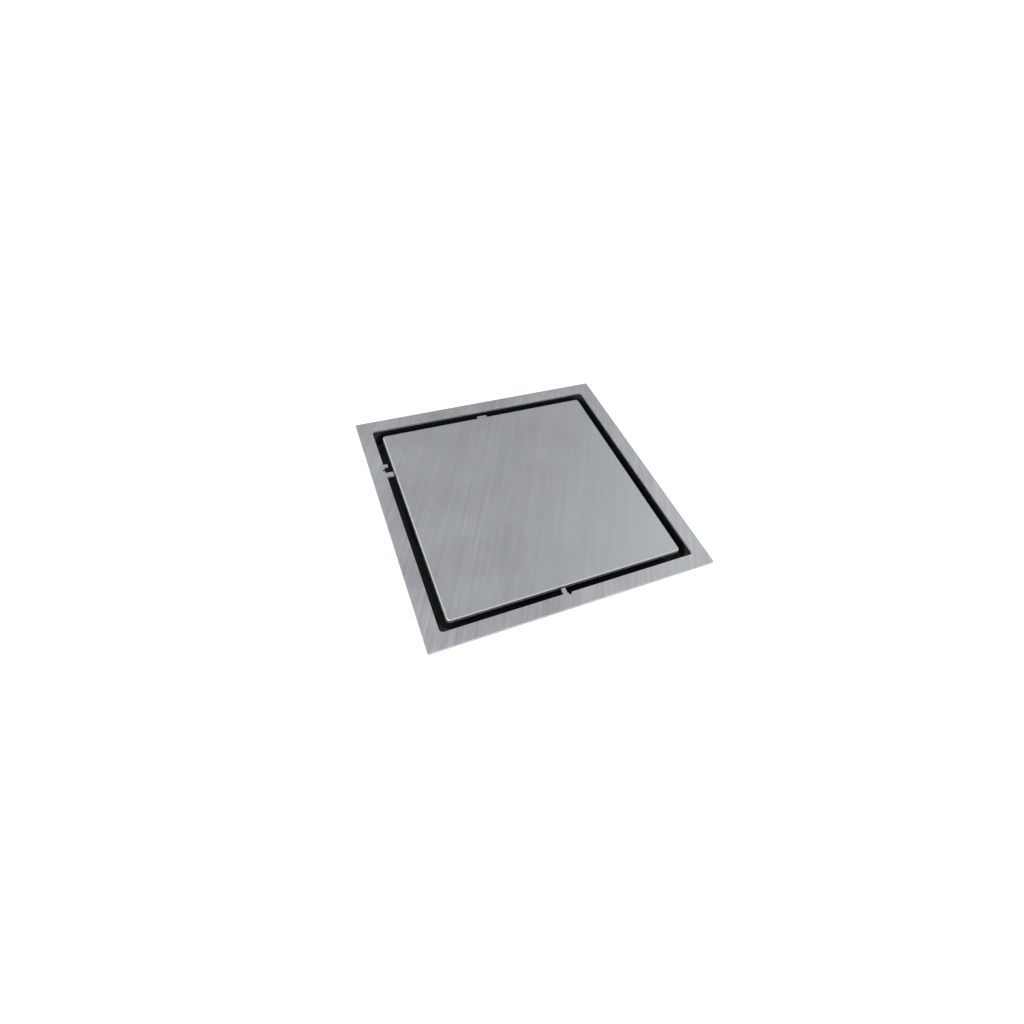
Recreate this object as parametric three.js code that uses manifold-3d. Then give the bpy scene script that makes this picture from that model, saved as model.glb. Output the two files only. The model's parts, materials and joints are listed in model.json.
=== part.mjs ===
// Square stainless steel floor drain with a solid lift-out cover, for a tiled wet-room floor.
//
// Water runs through the narrow slot round the cover into a shallow plastic tray. It then passes a lift-out
// strainer and a lift-out odour trap, whose sprung valve opens downwards, and leaves by the tailpiece, which
// a union nut holds to the tray.
//
// Millimetres, +Z up. The exported group stands on the tailpiece's end, centred on the Z axis. Inside it
// everything is placed in a group whose zero is the top face of the frame, which is the finished floor level.
import * as THREE from 'three';
import { mergeVertices } from 'three/addons/utils/BufferGeometryUtils.js';
import Module from 'manifold-3d';

const wasm = await Module();
wasm.setup();

// ---------------------------------------------------------------------------------------------------------
// Driving dimensions
// ---------------------------------------------------------------------------------------------------------

const OVERALL_HEIGHT = 84; // from the tailpiece's end to the frame's top face

// Top frame: a flat ring of stainless sheet
const FRAME_SIDE = 150;
const FRAME_THICKNESS = 1.5;
const FRAME_CORNER = 0.6;
const FLANGE_WIDTH = 7.85;
const OPENING_CORNER = 2;

// Cover plate and the slot round it
const SLOT_WIDTH = 4.4;
const COVER_RECESS = 0.8; // the cover's top face lies this far below the frame's
const COVER_THICKNESS = 2;
const COVER_CORNER = 2;

// Tongues that keep the cover central in the frame. Two are on the frame, each with a relief notch beside it,
// and one is on the cover's far side.
const NEAR_TONGUE_X = -5.7;
const NEAR_TONGUE_WIDTH = 2;
const NEAR_TONGUE_CLEARANCE = 1.2; // between its tip and the cover
const NEAR_NOTCH_WIDTH = 1.5;
const NEAR_NOTCH_SPACE = 0.5; // between the tongue and its notch
const LEFT_TONGUE_Y = 31.9;
const LEFT_TONGUE_WIDTH = 2.8;
const LEFT_TONGUE_CLEARANCE = 0.6;
const LEFT_NOTCH_WIDTH = 1.8;
const LEFT_NOTCH_SPACE = 1.4;
const NOTCH_DEPTH = 1.1;
const PRONG_WIDTH = 1.7; // the short prong beyond the left notch
const PRONG_REACH = 2.2;
const PRONG_SPACE = 0.9; // between the notch and the prong
const COVER_TONGUE_X = -1.6;
const COVER_TONGUE_WIDTH = 6;
const COVER_TONGUE_REACH = 2.2;

// Cover carrier, bonded under the cover plate
const BOND_THICKNESS = 0.6;
const BOND_INSET = 4.5; // from the cover's edge to the bond pad's
const COVER_OVERHANG = 2; // from the cover's edge to the carrier's
const CARRIER_HEIGHT = 5;
const CARRIER_CORNER = 6;
const CARRIER_SKIN = 1.5;
const CARRIER_RIB = 1.8;
const CARRIER_CELLS = 4; // cells along each side
const CARRIER_CELL_CORNER = 3;
const FOOT_INSET = 10.75; // from the carrier's edge to a foot's centre
const FOOT_RADIUS = 4.5;
const FOOT_BOSS_MARGIN = 0.5;
const FOOT_THICKNESS = 1.1;
const FOOT_PEG_RADIUS = 1.5;
const FOOT_PEG_LENGTH = 3;

// Tray
const GASKET_THICKNESS = 0.6;
const GASKET_INSET = 2.5; // from the frame's outer edge to the gasket's
const RIM_INSET = 2; // from the frame's outer edge to the tray rim's
const RIM_THICKNESS = 2;
const POCKET_SETBACK = 0.35; // the tray's wall stands this far behind the frame's opening
const TRAY_WALL = 2;
const TRAY_FLOOR = 2;
const TRAY_FALL = 3.5; // the floor drops this far towards the strainer
const REST_PAD_RADIUS = 5.2;
const REST_PAD_HEIGHT = 0.5;
const TRAY_FUNNEL_INSET = 3.5; // from the tray's wall to the funnel's edge
const GUSSETS = 8;
const GUSSET_THICKNESS = 2;
const GUSSET_INSET = 6; // from the tray's wall to a gusset's tip
const GUSSET_TIP_HEIGHT = 1.5; // below the tray's floor
const GUSSET_TOE = 2; // beyond the stub, at the gusset's foot
const GUSSET_FOOT_SPACE = 4; // between the gusset's foot and the union nut

// Fixings between frame and tray: M3 studs welded under the frame, washers and nuts
const STUD_RADIUS = 1.5;
const STUD_HOLE_CLEARANCE = 0.2;
const STUD_LENGTH = 6.9;
const STUD_OFFSET = 1.35; // outwards from the opening's straight sides, both ways
const NUT_FLATS = 5.5;
const NUT_HEIGHT = 2.4;
const WASHER_RADIUS = 3.2;
const WASHER_THICKNESS = 0.5;

// Outlet: tailpiece, its washer and the union nut
const PIPE_RADIUS = 25;
const PIPE_WALL = 2.2;
const THROAT_STEP = 1.2; // the tray's throat is this much wider than the tailpiece's bore
const STUB_WALL = 5.6;
const STUB_LENGTH = 22;
const TAILPIECE_CHAMFER = 1;
const UNION_WASHER_THICKNESS = 2;
const COLLAR_THICKNESS = 3;
const UNION_WALL = 4.6;
const UNION_LIP = 3;
const UNION_ENGAGEMENT = 8; // how far the nut reaches up the stub
const UNION_CHAMFER = 1;
const UNION_GRIPS = 10;
const UNION_GRIP_WIDTH = 5;
const UNION_GRIP_HEIGHT = 2.4;
const UNION_GRIP_INSET = 2; // from the nut's underside to the grips

// Strainer
const STRAINER_SHEET = 1;
const STRAINER_RIM = 5.5; // the rim's width outside the cup
const STRAINER_CLEARANCE = 0.5; // round the rim
const STRAINER_SINK = 0.2; // the rim's top lies this far below the funnel's foot
const CUP_DEPTH = 5;
const CUP_CLEARANCE = 1.5;
const STRAINER_HOLE_RADIUS = 1.6;
const STRAINER_HOLE_PITCH = 7;
const STRAINER_HOLE_MARGIN = 1; // between the outer holes and the cup's wall
const STRAINER_PLAIN_RADIUS = 7; // no hole reaches inside this
const KNOB_RADIUS = 4;
const KNOB_NECK_RADIUS = 2.4;
const KNOB_HEIGHT = 7;
const KNOB_FOOT_HEIGHT = 1.2;
const KNOB_HEAD_HEIGHT = 2;
const KNOB_TAPER = 1; // the height over which the neck widens to the head
const KNOB_EDGE = 0.6;
const KNOB_BORE_DEPTH = 4;
const KNOB_SCREW_RADIUS = 2.6;
const KNOB_SCREW_HEAD = 1.2;
const KNOB_SCREW_EDGE = 0.5;
const KNOB_SCREW_REACH = 3.5; // above the strainer's floor

// Odour trap: sleeve, two O-rings and a spring-closed valve
const TRAP_LEDGE = 9; // the ledge round the throat that carries the trap
const CORE_CLEARANCE = 1;
const CORE_WALL = 1.8;
const CORE_FLANGE_THICKNESS = 2;
const CORE_FLANGE_CLEARANCE = 1.5;
const CORE_HEADROOM = 1.1; // between the knob screw and the sleeve's flange
const O_RING_SECTION = 1.25; // radius of the rubber
const O_RING_FIRST = 6; // below the flange
const O_RING_PITCH = 6;
const PULL_BAR_WIDTH = 3;
const PULL_BAR_HEIGHT = 4;
const VALVE_TRAVEL = 8;
const VALVE_GASKET_THICKNESS = 1.5;
const VALVE_GASKET_WIDTH = 4.5;
const VALVE_PLATE_THICKNESS = 2;
const VALVE_PLATE_CLEARANCE = 0.6; // smaller in radius than the sleeve
const VALVE_PLATE_CHAMFER = 1;
const VALVE_NUT_FLATS = 6.5;
const VALVE_NUT_HEIGHT = 3;
const VALVE_END_COVER = 3.5; // the open valve stays this far inside the tailpiece
const STEM_RADIUS = 1.5;
const STEM_SHOULDER_RADIUS = 3;
const STEM_SHOULDER_HEIGHT = 1.2;
const SPIDER_RISE = 6; // from the sleeve's end to the spider's underside
const SPIDER_HEIGHT = 3;
const SPIDER_ARMS = 3;
const SPIDER_ARM_WIDTH = 2.4;
const SPIDER_HUB_RADIUS = 5;
const SPRING_LENGTH = 13;
const SPRING_TURNS = 4.5;
const SPRING_RADIUS = 3.4;
const SPRING_WIRE_RADIUS = 0.45;
const SPRING_CAP_RADIUS = 5;
const SPRING_CAP_HEIGHT = 3;
const SPRING_CAP_EDGE = 1;

// Clearances shared by several pieces
const RUNNING = 0.3; // round a moving or screwed piece
const BOLT_CLEARANCE = 0.1; // a nut's or washer's bore round its stud
const SEAT_GAP = 0.1; // between an O-ring and what it seals against
const NUT_CLEARANCE = 0.4; // between a frame nut's corner and the tray's wall

// Facets round a full turn: each a multiple of 4, so that pieces with the same count nest facet to facet
const FINE = 36;
const MEDIUM = 16;
const COARSE = 8;
const RING_SECTION_FACETS = 6; // round an O-ring's rubber
const SPRING_STEPS = 12; // along each turn of the spring
const CORNER_SEGMENTS = 3; // half the facets of a rounded corner

// ---------------------------------------------------------------------------------------------------------
// Places worked out from them. Heights are measured from the frame's top face, so they are negative.
// ---------------------------------------------------------------------------------------------------------

const frameHalf = FRAME_SIDE / 2;
const openingHalf = frameHalf - FLANGE_WIDTH;
const coverHalf = openingHalf - SLOT_WIDTH;
const carrierHalf = coverHalf - COVER_OVERHANG;
const footAt = carrierHalf - FOOT_INSET;

const frameUnder = -FRAME_THICKNESS;
const coverTop = -COVER_RECESS;
const coverUnder = coverTop - COVER_THICKNESS;
const carrierTop = coverUnder - BOND_THICKNESS;
const carrierUnder = carrierTop - CARRIER_HEIGHT;
const footUnder = carrierUnder - FOOT_THICKNESS;

const gasketUnder = frameUnder - GASKET_THICKNESS;
const rimUnder = gasketUnder - RIM_THICKNESS;
const rimHalf = frameHalf - RIM_INSET;
const pocketHalf = openingHalf + POCKET_SETBACK;
const wallHalf = pocketHalf + TRAY_WALL;
const pocketFloor = footUnder - REST_PAD_HEIGHT;

const studAt = openingHalf + STUD_OFFSET;
const studHoleRadius = STUD_RADIUS + STUD_HOLE_CLEARANCE;
const nutCornerRadius = NUT_FLATS / Math.sqrt(3);
// The tray's corners are rounded just enough to pass inside the frame nuts.
const CORNER_CUT = 1 - Math.SQRT1_2; // how far a corner arc of radius 1 stays back from the corner, each way
const wallCorner = (wallHalf - studAt + (nutCornerRadius + NUT_CLEARANCE) * Math.SQRT1_2) / CORNER_CUT;
const pocketCorner = wallCorner - TRAY_WALL;

const pipeBore = PIPE_RADIUS - PIPE_WALL;
const throatRadius = pipeBore + THROAT_STEP;
const stubRadius = throatRadius + STUB_WALL;
const recessRadius = throatRadius + TRAP_LEDGE;
const cupRadius = recessRadius - CUP_CLEARANCE;
const strainerRadius = cupRadius + STRAINER_RIM;
const counterboreRadius = strainerRadius + STRAINER_CLEARANCE;
const funnelRadius = pocketHalf - TRAY_FUNNEL_INSET;

const funnelFoot = pocketFloor - TRAY_FALL;
const counterboreFloor = funnelFoot - STRAINER_SINK - STRAINER_SHEET;
const cupUnder = counterboreFloor - CUP_DEPTH;
const coreTop = cupUnder - KNOB_SCREW_HEAD - CORE_HEADROOM;
const recessFloor = coreTop - CORE_FLANGE_THICKNESS;
const stubEnd = recessFloor - STUB_LENGTH;
const collarTop = stubEnd - UNION_WASHER_THICKNESS;
const collarUnder = collarTop - COLLAR_THICKNESS;
const unionTop = stubEnd + UNION_ENGAGEMENT;
const unionUnder = collarUnder - UNION_LIP;
const unionBore = stubRadius + RUNNING;
const unionRadius = unionBore + UNION_WALL;
const outletEnd = -OVERALL_HEIGHT;

const sleeveRadius = pipeBore - CORE_CLEARANCE;
const sleeveBore = sleeveRadius - CORE_WALL;
const coreFlangeRadius = recessRadius - CORE_FLANGE_CLEARANCE;
const valveStack = VALVE_GASKET_THICKNESS + VALVE_PLATE_THICKNESS + VALVE_NUT_HEIGHT;
const sleeveEnd = outletEnd + VALVE_END_COVER + VALVE_TRAVEL + valveStack;
const plateTop = sleeveEnd - VALVE_GASKET_THICKNESS;
const plateUnder = plateTop - VALVE_PLATE_THICKNESS;
const plateRadius = sleeveRadius - VALVE_PLATE_CLEARANCE;
const stemEnd = plateUnder - VALVE_NUT_HEIGHT;
const spiderUnder = sleeveEnd + SPIDER_RISE;
const spiderTop = spiderUnder + SPIDER_HEIGHT;
const springCapUnder = spiderTop + SPRING_LENGTH;
const springCapTop = springCapUnder + SPRING_CAP_HEIGHT;
const oRingRadius = throatRadius - SEAT_GAP - O_RING_SECTION; // to the middle of the rubber

// ---------------------------------------------------------------------------------------------------------
// Materials
// ---------------------------------------------------------------------------------------------------------

const metal = (name, color, roughness) =>
  new THREE.MeshStandardMaterial({ name, color, roughness, metalness: 1 });
const plain = (name, color, roughness) =>
  new THREE.MeshStandardMaterial({ name, color, roughness, metalness: 0 });

const brushedSteel = metal('brushed_steel', 0xa6a9ab, 0.38);
const pressedSteel = metal('pressed_steel', 0xb4b6b8, 0.3);
const fastenerSteel = metal('fastener_steel', 0x9fa2a5, 0.35);
const springSteel = metal('spring_steel', 0xc0c2c4, 0.25);
const blackPlastic = plain('black_plastic', 0x17181a, 0.45);
const greyPlastic = plain('grey_plastic', 0x6d7276, 0.5);
const whitePlastic = plain('white_plastic', 0xe4e5e2, 0.4);
const blackRubber = plain('black_rubber', 0x141414, 0.75);
const sealRubber = plain('seal_rubber', 0xb9442c, 0.6);
const foam = plain('bond_foam', 0x2a2b2c, 0.9);

// ---------------------------------------------------------------------------------------------------------
// Solids
// ---------------------------------------------------------------------------------------------------------

const MERGE_DISTANCE = 1e-4;
const PAST = 1; // a cutter reaches this far past the face that it cuts through

/** A closed three.js geometry as a manifold-3d solid. */
function solid(geometry) {
  const bare = new THREE.BufferGeometry();
  bare.setAttribute('position', geometry.getAttribute('position'));
  bare.setIndex(geometry.index);
  const merged = mergeVertices(bare, MERGE_DISTANCE);
  const corners = merged.index.array;
  const kept = [];
  for (let i = 0; i < corners.length; i += 3) {
    const [a, b, c] = corners.slice(i, i + 3);
    if (a !== b && b !== c && c !== a) kept.push(a, b, c);
  }
  return new wasm.Manifold(
    new wasm.Mesh({
      numProp: 3,
      vertProperties: merged.getAttribute('position').array,
      triVerts: new Uint32Array(kept),
    }),
  );
}

/** A manifold-3d solid as a three.js geometry. */
function geometryOf(made) {
  const { numVert, numProp, vertProperties, triVerts } = made.getMesh();
  const points = new Float32Array(numVert * 3);
  for (let i = 0; i < numVert; i++) {
    points.set(vertProperties.subarray(i * numProp, i * numProp + 3), i * 3);
  }
  const geometry = new THREE.BufferGeometry();
  geometry.setAttribute('position', new THREE.BufferAttribute(points, 3));
  geometry.setIndex(new THREE.BufferAttribute(triVerts, 1));
  geometry.computeVertexNormals();
  return geometry;
}

/** The outline of a square of half-width half, with its corners rounded to radius. */
function roundedSquare(half, radius, Kind = THREE.Shape) {
  const outline = new Kind();
  const straight = half - radius;
  outline.moveTo(half, -straight);
  outline.absarc(straight, straight, radius, 0, Math.PI / 2);
  outline.absarc(-straight, straight, radius, Math.PI / 2, Math.PI);
  outline.absarc(-straight, -straight, radius, Math.PI, Math.PI * 1.5);
  outline.absarc(straight, -straight, radius, Math.PI * 1.5, Math.PI * 2);
  return outline;
}

/** A flat shape extruded from z = low to z = high. */
function prism(shape, low, high, curveSegments = CORNER_SEGMENTS) {
  const options = { depth: high - low, bevelEnabled: false, curveSegments };
  return solid(new THREE.ExtrudeGeometry(shape, options).translate(0, 0, low));
}

function squarePlate(half, radius, low, high) {
  return prism(roundedSquare(half, radius), low, high);
}

/** A box centred on (x, y), from z = low to z = high. */
function block(x, y, width, depth, low, high) {
  return solid(new THREE.BoxGeometry(width, depth, high - low).translate(x, y, (low + high) / 2));
}

/** A solid of revolution about the Z axis. The profile lists [radius, z] and closes on itself. */
function turned(profile, facets = FINE) {
  const points = profile.map(([radius, z]) => new THREE.Vector2(radius, z));
  if (THREE.ShapeUtils.area(points) < 0) points.reverse();
  points.push(points[0].clone());
  return solid(new THREE.LatheGeometry(points, facets).rotateX(Math.PI / 2));
}

/** A cylinder centred on (x, y), from z = low to z = high. */
function rod(radius, low, high, facets = MEDIUM, x = 0, y = 0) {
  const geometry = new THREE.CylinderGeometry(radius, radius, high - low, facets).rotateX(Math.PI / 2);
  return solid(geometry.translate(x, y, (low + high) / 2));
}

function hexNut(flats, boreRadius, low, high) {
  const body = solid(
    new THREE.CylinderGeometry(flats / Math.sqrt(3), flats / Math.sqrt(3), high - low, 6)
      .rotateX(Math.PI / 2)
      .translate(0, 0, (low + high) / 2),
  );
  return body.subtract(rod(boreRadius, low - PAST, high + PAST, COARSE));
}

const unite = (solids) => solids.reduce((all, next) => all.add(next));
const cut = (body, solids) => solids.reduce((rest, next) => rest.subtract(next), body);

/** The four places (±at, ±at), counter-clockwise from the near left corner. */
const fourCorners = (at) => [[-at, -at], [at, -at], [at, at], [-at, at]];

/** A named mesh. */
function piece(name, made, material) {
  const mesh = new THREE.Mesh(geometryOf(made), material);
  mesh.name = name;
  return mesh;
}

// ---------------------------------------------------------------------------------------------------------
// Fixed pieces: frame, gasket, tray, fixings and outlet
// ---------------------------------------------------------------------------------------------------------

/** The flat ring at floor level, with two tongues that reach across the slot and a short prong. */
function topFrame() {
  const shape = roundedSquare(frameHalf, FRAME_CORNER);
  shape.holes.push(roundedSquare(openingHalf, OPENING_CORNER, THREE.Path));
  const ring = prism(shape, frameUnder, 0);
  const nearReach = SLOT_WIDTH - NEAR_TONGUE_CLEARANCE;
  const leftReach = SLOT_WIDTH - LEFT_TONGUE_CLEARANCE;
  const leftNotchY = LEFT_TONGUE_Y + LEFT_TONGUE_WIDTH / 2 + LEFT_NOTCH_SPACE + LEFT_NOTCH_WIDTH / 2;
  const prongY = leftNotchY + LEFT_NOTCH_WIDTH / 2 + PRONG_SPACE + PRONG_WIDTH / 2;
  const nearNotchX = NEAR_TONGUE_X + NEAR_TONGUE_WIDTH / 2 + NEAR_NOTCH_SPACE + NEAR_NOTCH_WIDTH / 2;
  const fingers = [
    nearFinger(NEAR_TONGUE_X, NEAR_TONGUE_WIDTH, nearReach),
    leftFinger(LEFT_TONGUE_Y, LEFT_TONGUE_WIDTH, leftReach),
    leftFinger(prongY, PRONG_WIDTH, PRONG_REACH),
  ];
  const length = NOTCH_DEPTH + PAST;
  const middle = openingHalf - PAST + length / 2;
  const low = frameUnder - PAST;
  const notches = [
    block(nearNotchX, -middle, NEAR_NOTCH_WIDTH, length, low, PAST),
    block(-middle, leftNotchY, length, LEFT_NOTCH_WIDTH, low, PAST),
  ];
  return cut(unite([ring, ...fingers]), notches);
}

/** A finger on the opening's near side, rooted in the ring and reaching towards the cover. */
function nearFinger(x, width, reach) {
  return block(x, -openingHalf + (reach - PAST) / 2, width, reach + PAST, frameUnder, 0);
}

/** The same on the opening's left side. */
function leftFinger(y, width, reach) {
  return block(-openingHalf + (reach - PAST) / 2, y, reach + PAST, width, frameUnder, 0);
}

function frameGasket() {
  const shape = roundedSquare(frameHalf - GASKET_INSET, OPENING_CORNER);
  shape.holes.push(roundedSquare(pocketHalf, pocketCorner, THREE.Path));
  const holes = fourCorners(studAt).map(([x, y]) =>
    rod(studHoleRadius, gasketUnder - PAST, frameUnder + PAST, COARSE, x, y),
  );
  return cut(prism(shape, gasketUnder, frameUnder), holes);
}

/** A triangular web under the tray's floor, from the stub out towards the wall, pointing along +X. */
function gusset() {
  const inner = stubRadius - PAST;
  const outer = pocketHalf - GUSSET_INSET;
  const low = unionTop + GUSSET_FOOT_SPACE;
  const shape = new THREE.Shape([
    new THREE.Vector2(inner, pocketFloor),
    new THREE.Vector2(outer, pocketFloor),
    new THREE.Vector2(outer, pocketFloor - TRAY_FLOOR - GUSSET_TIP_HEIGHT),
    new THREE.Vector2(stubRadius + GUSSET_TOE, low),
    new THREE.Vector2(inner, low),
  ]);
  return new THREE.ExtrudeGeometry(shape, { depth: GUSSET_THICKNESS, bevelEnabled: false })
    .translate(0, 0, -GUSSET_THICKNESS / 2)
    .rotateX(Math.PI / 2);
}

/** The moulded tray: rim, square pocket, conical floor, seat for the strainer, recess, throat and stub. */
function gullyTray() {
  const rim = squarePlate(rimHalf, OPENING_CORNER, rimUnder, gasketUnder);
  const wall = squarePlate(wallHalf, wallCorner, pocketFloor - TRAY_FLOOR, gasketUnder);
  const underFloor = turned([
    [0, pocketFloor - TRAY_FLOOR / 2],
    [funnelRadius + TRAY_FLOOR, pocketFloor - TRAY_FLOOR / 2],
    [funnelRadius + TRAY_FLOOR, pocketFloor - TRAY_FLOOR],
    [counterboreRadius + TRAY_WALL, funnelFoot - TRAY_FLOOR],
    [counterboreRadius + TRAY_WALL, counterboreFloor - TRAY_WALL],
    [recessRadius + TRAY_WALL, counterboreFloor - TRAY_WALL],
    [recessRadius + TRAY_WALL, recessFloor - TRAY_WALL],
    [stubRadius, recessFloor - TRAY_WALL],
    [stubRadius, stubEnd],
    [0, stubEnd],
  ]);
  const gussets = Array.from({ length: GUSSETS }, (_, i) =>
    solid(gusset().rotateZ((i * 2 * Math.PI) / GUSSETS)),
  );
  const pocket = squarePlate(pocketHalf, pocketCorner, pocketFloor, PAST);
  const inside = turned([
    [0, pocketFloor + TRAY_FALL / 2],
    [funnelRadius, pocketFloor + TRAY_FALL / 2],
    [funnelRadius, pocketFloor],
    [counterboreRadius, funnelFoot],
    [counterboreRadius, counterboreFloor],
    [recessRadius, counterboreFloor],
    [recessRadius, recessFloor],
    [throatRadius, recessFloor],
    [throatRadius, stubEnd - PAST],
    [0, stubEnd - PAST],
  ]);
  const holes = fourCorners(studAt).map(([x, y]) =>
    rod(studHoleRadius, rimUnder - PAST, gasketUnder + PAST, COARSE, x, y),
  );
  const pads = fourCorners(footAt).map(([x, y]) =>
    rod(REST_PAD_RADIUS, pocketFloor - TRAY_FLOOR / 2, footUnder, MEDIUM, x, y),
  );
  const shell = cut(unite([rim, wall, underFloor, ...gussets]), [pocket, inside, ...holes]);
  return unite([shell, ...pads]);
}

function outletTailpiece() {
  return turned([
    [pipeBore, collarTop],
    [stubRadius, collarTop],
    [stubRadius, collarUnder],
    [PIPE_RADIUS, collarUnder],
    [PIPE_RADIUS, outletEnd + TAILPIECE_CHAMFER],
    [PIPE_RADIUS - TAILPIECE_CHAMFER, outletEnd],
    [pipeBore, outletEnd],
  ]);
}

function unionWasher() {
  return turned([
    [throatRadius, stubEnd],
    [stubRadius, stubEnd],
    [stubRadius, collarTop],
    [throatRadius, collarTop],
  ]);
}

function unionNut() {
  const body = turned([
    [unionBore, unionTop],
    [unionRadius, unionTop],
    [unionRadius, unionUnder + UNION_CHAMFER],
    [unionRadius - UNION_CHAMFER, unionUnder],
    [PIPE_RADIUS + RUNNING, unionUnder],
    [PIPE_RADIUS + RUNNING, collarUnder],
    [unionBore, collarUnder],
  ]);
  const low = unionUnder + UNION_GRIP_INSET;
  const height = unionTop - low;
  const grips = Array.from({ length: UNION_GRIPS }, (_, i) => {
    const grip = new THREE.BoxGeometry(UNION_GRIP_HEIGHT + PAST, UNION_GRIP_WIDTH, height);
    grip.translate(unionRadius + (UNION_GRIP_HEIGHT - PAST) / 2, 0, low + height / 2);
    return solid(grip.rotateZ((i * 2 * Math.PI) / UNION_GRIPS));
  });
  return unite([body, ...grips]);
}

// ---------------------------------------------------------------------------------------------------------
// Odour trap
// ---------------------------------------------------------------------------------------------------------

/** The sleeve that drops into the throat, with the spider that guides the valve's stem and a bar to pull. */
function coreSleeve() {
  const tube = turned([
    [sleeveBore, coreTop],
    [coreFlangeRadius, coreTop],
    [coreFlangeRadius, recessFloor],
    [sleeveRadius, recessFloor],
    [sleeveRadius, sleeveEnd],
    [sleeveBore, sleeveEnd],
  ]);
  const grooveFloor = oRingRadius - O_RING_SECTION - SEAT_GAP;
  const grooveHalf = O_RING_SECTION + SEAT_GAP;
  const grooves = oRingHeights().map((z) =>
    turned([
      [grooveFloor, z - grooveHalf],
      [sleeveRadius + PAST, z - grooveHalf],
      [sleeveRadius + PAST, z + grooveHalf],
      [grooveFloor, z + grooveHalf],
    ]),
  );
  const intoWall = sleeveBore + CORE_WALL / 2;
  const arms = Array.from({ length: SPIDER_ARMS }, (_, i) => {
    const arm = new THREE.BoxGeometry(intoWall, SPIDER_ARM_WIDTH, SPIDER_HEIGHT);
    arm.translate(intoWall / 2, 0, spiderUnder + SPIDER_HEIGHT / 2);
    return solid(arm.rotateZ((i * 2 * Math.PI) / SPIDER_ARMS));
  });
  const hub = rod(SPIDER_HUB_RADIUS, spiderUnder, spiderTop);
  const stemHole = rod(STEM_RADIUS + RUNNING, spiderUnder - PAST, spiderTop + PAST, COARSE);
  const pullBar = block(0, 0, PULL_BAR_WIDTH, 2 * intoWall, coreTop - PULL_BAR_HEIGHT, coreTop);
  return cut(unite([tube, ...arms, hub, pullBar]), [...grooves, stemHole]);
}

/** Heights of the middles of the two O-rings. */
function oRingHeights() {
  const first = recessFloor - O_RING_FIRST;
  return [first, first - O_RING_PITCH];
}

function oRing() {
  return solid(new THREE.TorusGeometry(oRingRadius, O_RING_SECTION, RING_SECTION_FACETS, FINE));
}

function valveStem() {
  const shoulderTop = plateTop + STEM_SHOULDER_HEIGHT;
  return turned(
    [
      [0, springCapTop],
      [STEM_RADIUS, springCapTop],
      [STEM_RADIUS, shoulderTop],
      [STEM_SHOULDER_RADIUS, shoulderTop],
      [STEM_SHOULDER_RADIUS, plateTop],
      [STEM_RADIUS, plateTop],
      [STEM_RADIUS, stemEnd],
      [0, stemEnd],
    ],
    COARSE,
  );
}

function valvePlate() {
  const bore = STEM_RADIUS + BOLT_CLEARANCE;
  return turned([
    [bore, plateTop],
    [plateRadius, plateTop],
    [plateRadius, plateUnder + VALVE_PLATE_CHAMFER],
    [plateRadius - VALVE_PLATE_CHAMFER, plateUnder],
    [bore, plateUnder],
  ]);
}

function valveGasket() {
  return turned([
    [plateRadius - VALVE_GASKET_WIDTH, plateTop],
    [plateRadius, plateTop],
    [plateRadius, sleeveEnd],
    [plateRadius - VALVE_GASKET_WIDTH, sleeveEnd],
  ]);
}

function springCap() {
  const bore = STEM_RADIUS + BOLT_CLEARANCE;
  return turned(
    [
      [bore, springCapUnder],
      [SPRING_CAP_RADIUS, springCapUnder],
      [SPRING_CAP_RADIUS, springCapUnder + SPRING_CAP_EDGE],
      [STEM_SHOULDER_RADIUS, springCapTop],
      [bore, springCapTop],
    ],
    MEDIUM,
  );
}

/** The compression spring between the spider and the cap. */
class Helix extends THREE.Curve {
  getPoint(t, target = new THREE.Vector3()) {
    const angle = t * SPRING_TURNS * 2 * Math.PI;
    const seat = SPRING_WIRE_RADIUS + SEAT_GAP;
    const z = spiderTop + seat + t * (SPRING_LENGTH - 2 * seat);
    return target.set(SPRING_RADIUS * Math.cos(angle), SPRING_RADIUS * Math.sin(angle), z);
  }
}

function valveSpring() {
  const wire = new THREE.Shape().absarc(0, 0, SPRING_WIRE_RADIUS, 0, 2 * Math.PI);
  return solid(
    new THREE.ExtrudeGeometry(wire, {
      extrudePath: new Helix(),
      steps: Math.round(SPRING_TURNS * SPRING_STEPS),
      curveSegments: CORNER_SEGMENTS,
    }),
  );
}

// ---------------------------------------------------------------------------------------------------------
// Strainer
// ---------------------------------------------------------------------------------------------------------

/** A pressed cup with a flat rim and rings of round holes in its floor. */
function strainerBasket() {
  const inner = cupRadius - STRAINER_SHEET;
  const rimTop = counterboreFloor + STRAINER_SHEET;
  const cup = turned([
    [0, cupUnder],
    [cupRadius, cupUnder],
    [cupRadius, counterboreFloor],
    [strainerRadius, counterboreFloor],
    [strainerRadius, rimTop],
    [inner, rimTop],
    [inner, cupUnder + STRAINER_SHEET],
    [0, cupUnder + STRAINER_SHEET],
  ]);
  const above = cupUnder + STRAINER_SHEET + PAST;
  const holes = [];
  const firstRing = STRAINER_PLAIN_RADIUS + STRAINER_HOLE_RADIUS;
  const lastRing = inner - STRAINER_HOLE_MARGIN - STRAINER_HOLE_RADIUS;
  for (let ring = firstRing; ring <= lastRing; ring += STRAINER_HOLE_PITCH) {
    const count = Math.floor((2 * Math.PI * ring) / STRAINER_HOLE_PITCH);
    for (let i = 0; i < count; i++) {
      const angle = (i * 2 * Math.PI) / count;
      const [x, y] = [ring * Math.cos(angle), ring * Math.sin(angle)];
      holes.push(rod(STRAINER_HOLE_RADIUS, cupUnder - PAST, above, COARSE, x, y));
    }
  }
  const screwHole = rod(STEM_RADIUS + BOLT_CLEARANCE, cupUnder - PAST, above, COARSE);
  return cut(cup, [...holes, screwHole]);
}

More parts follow.
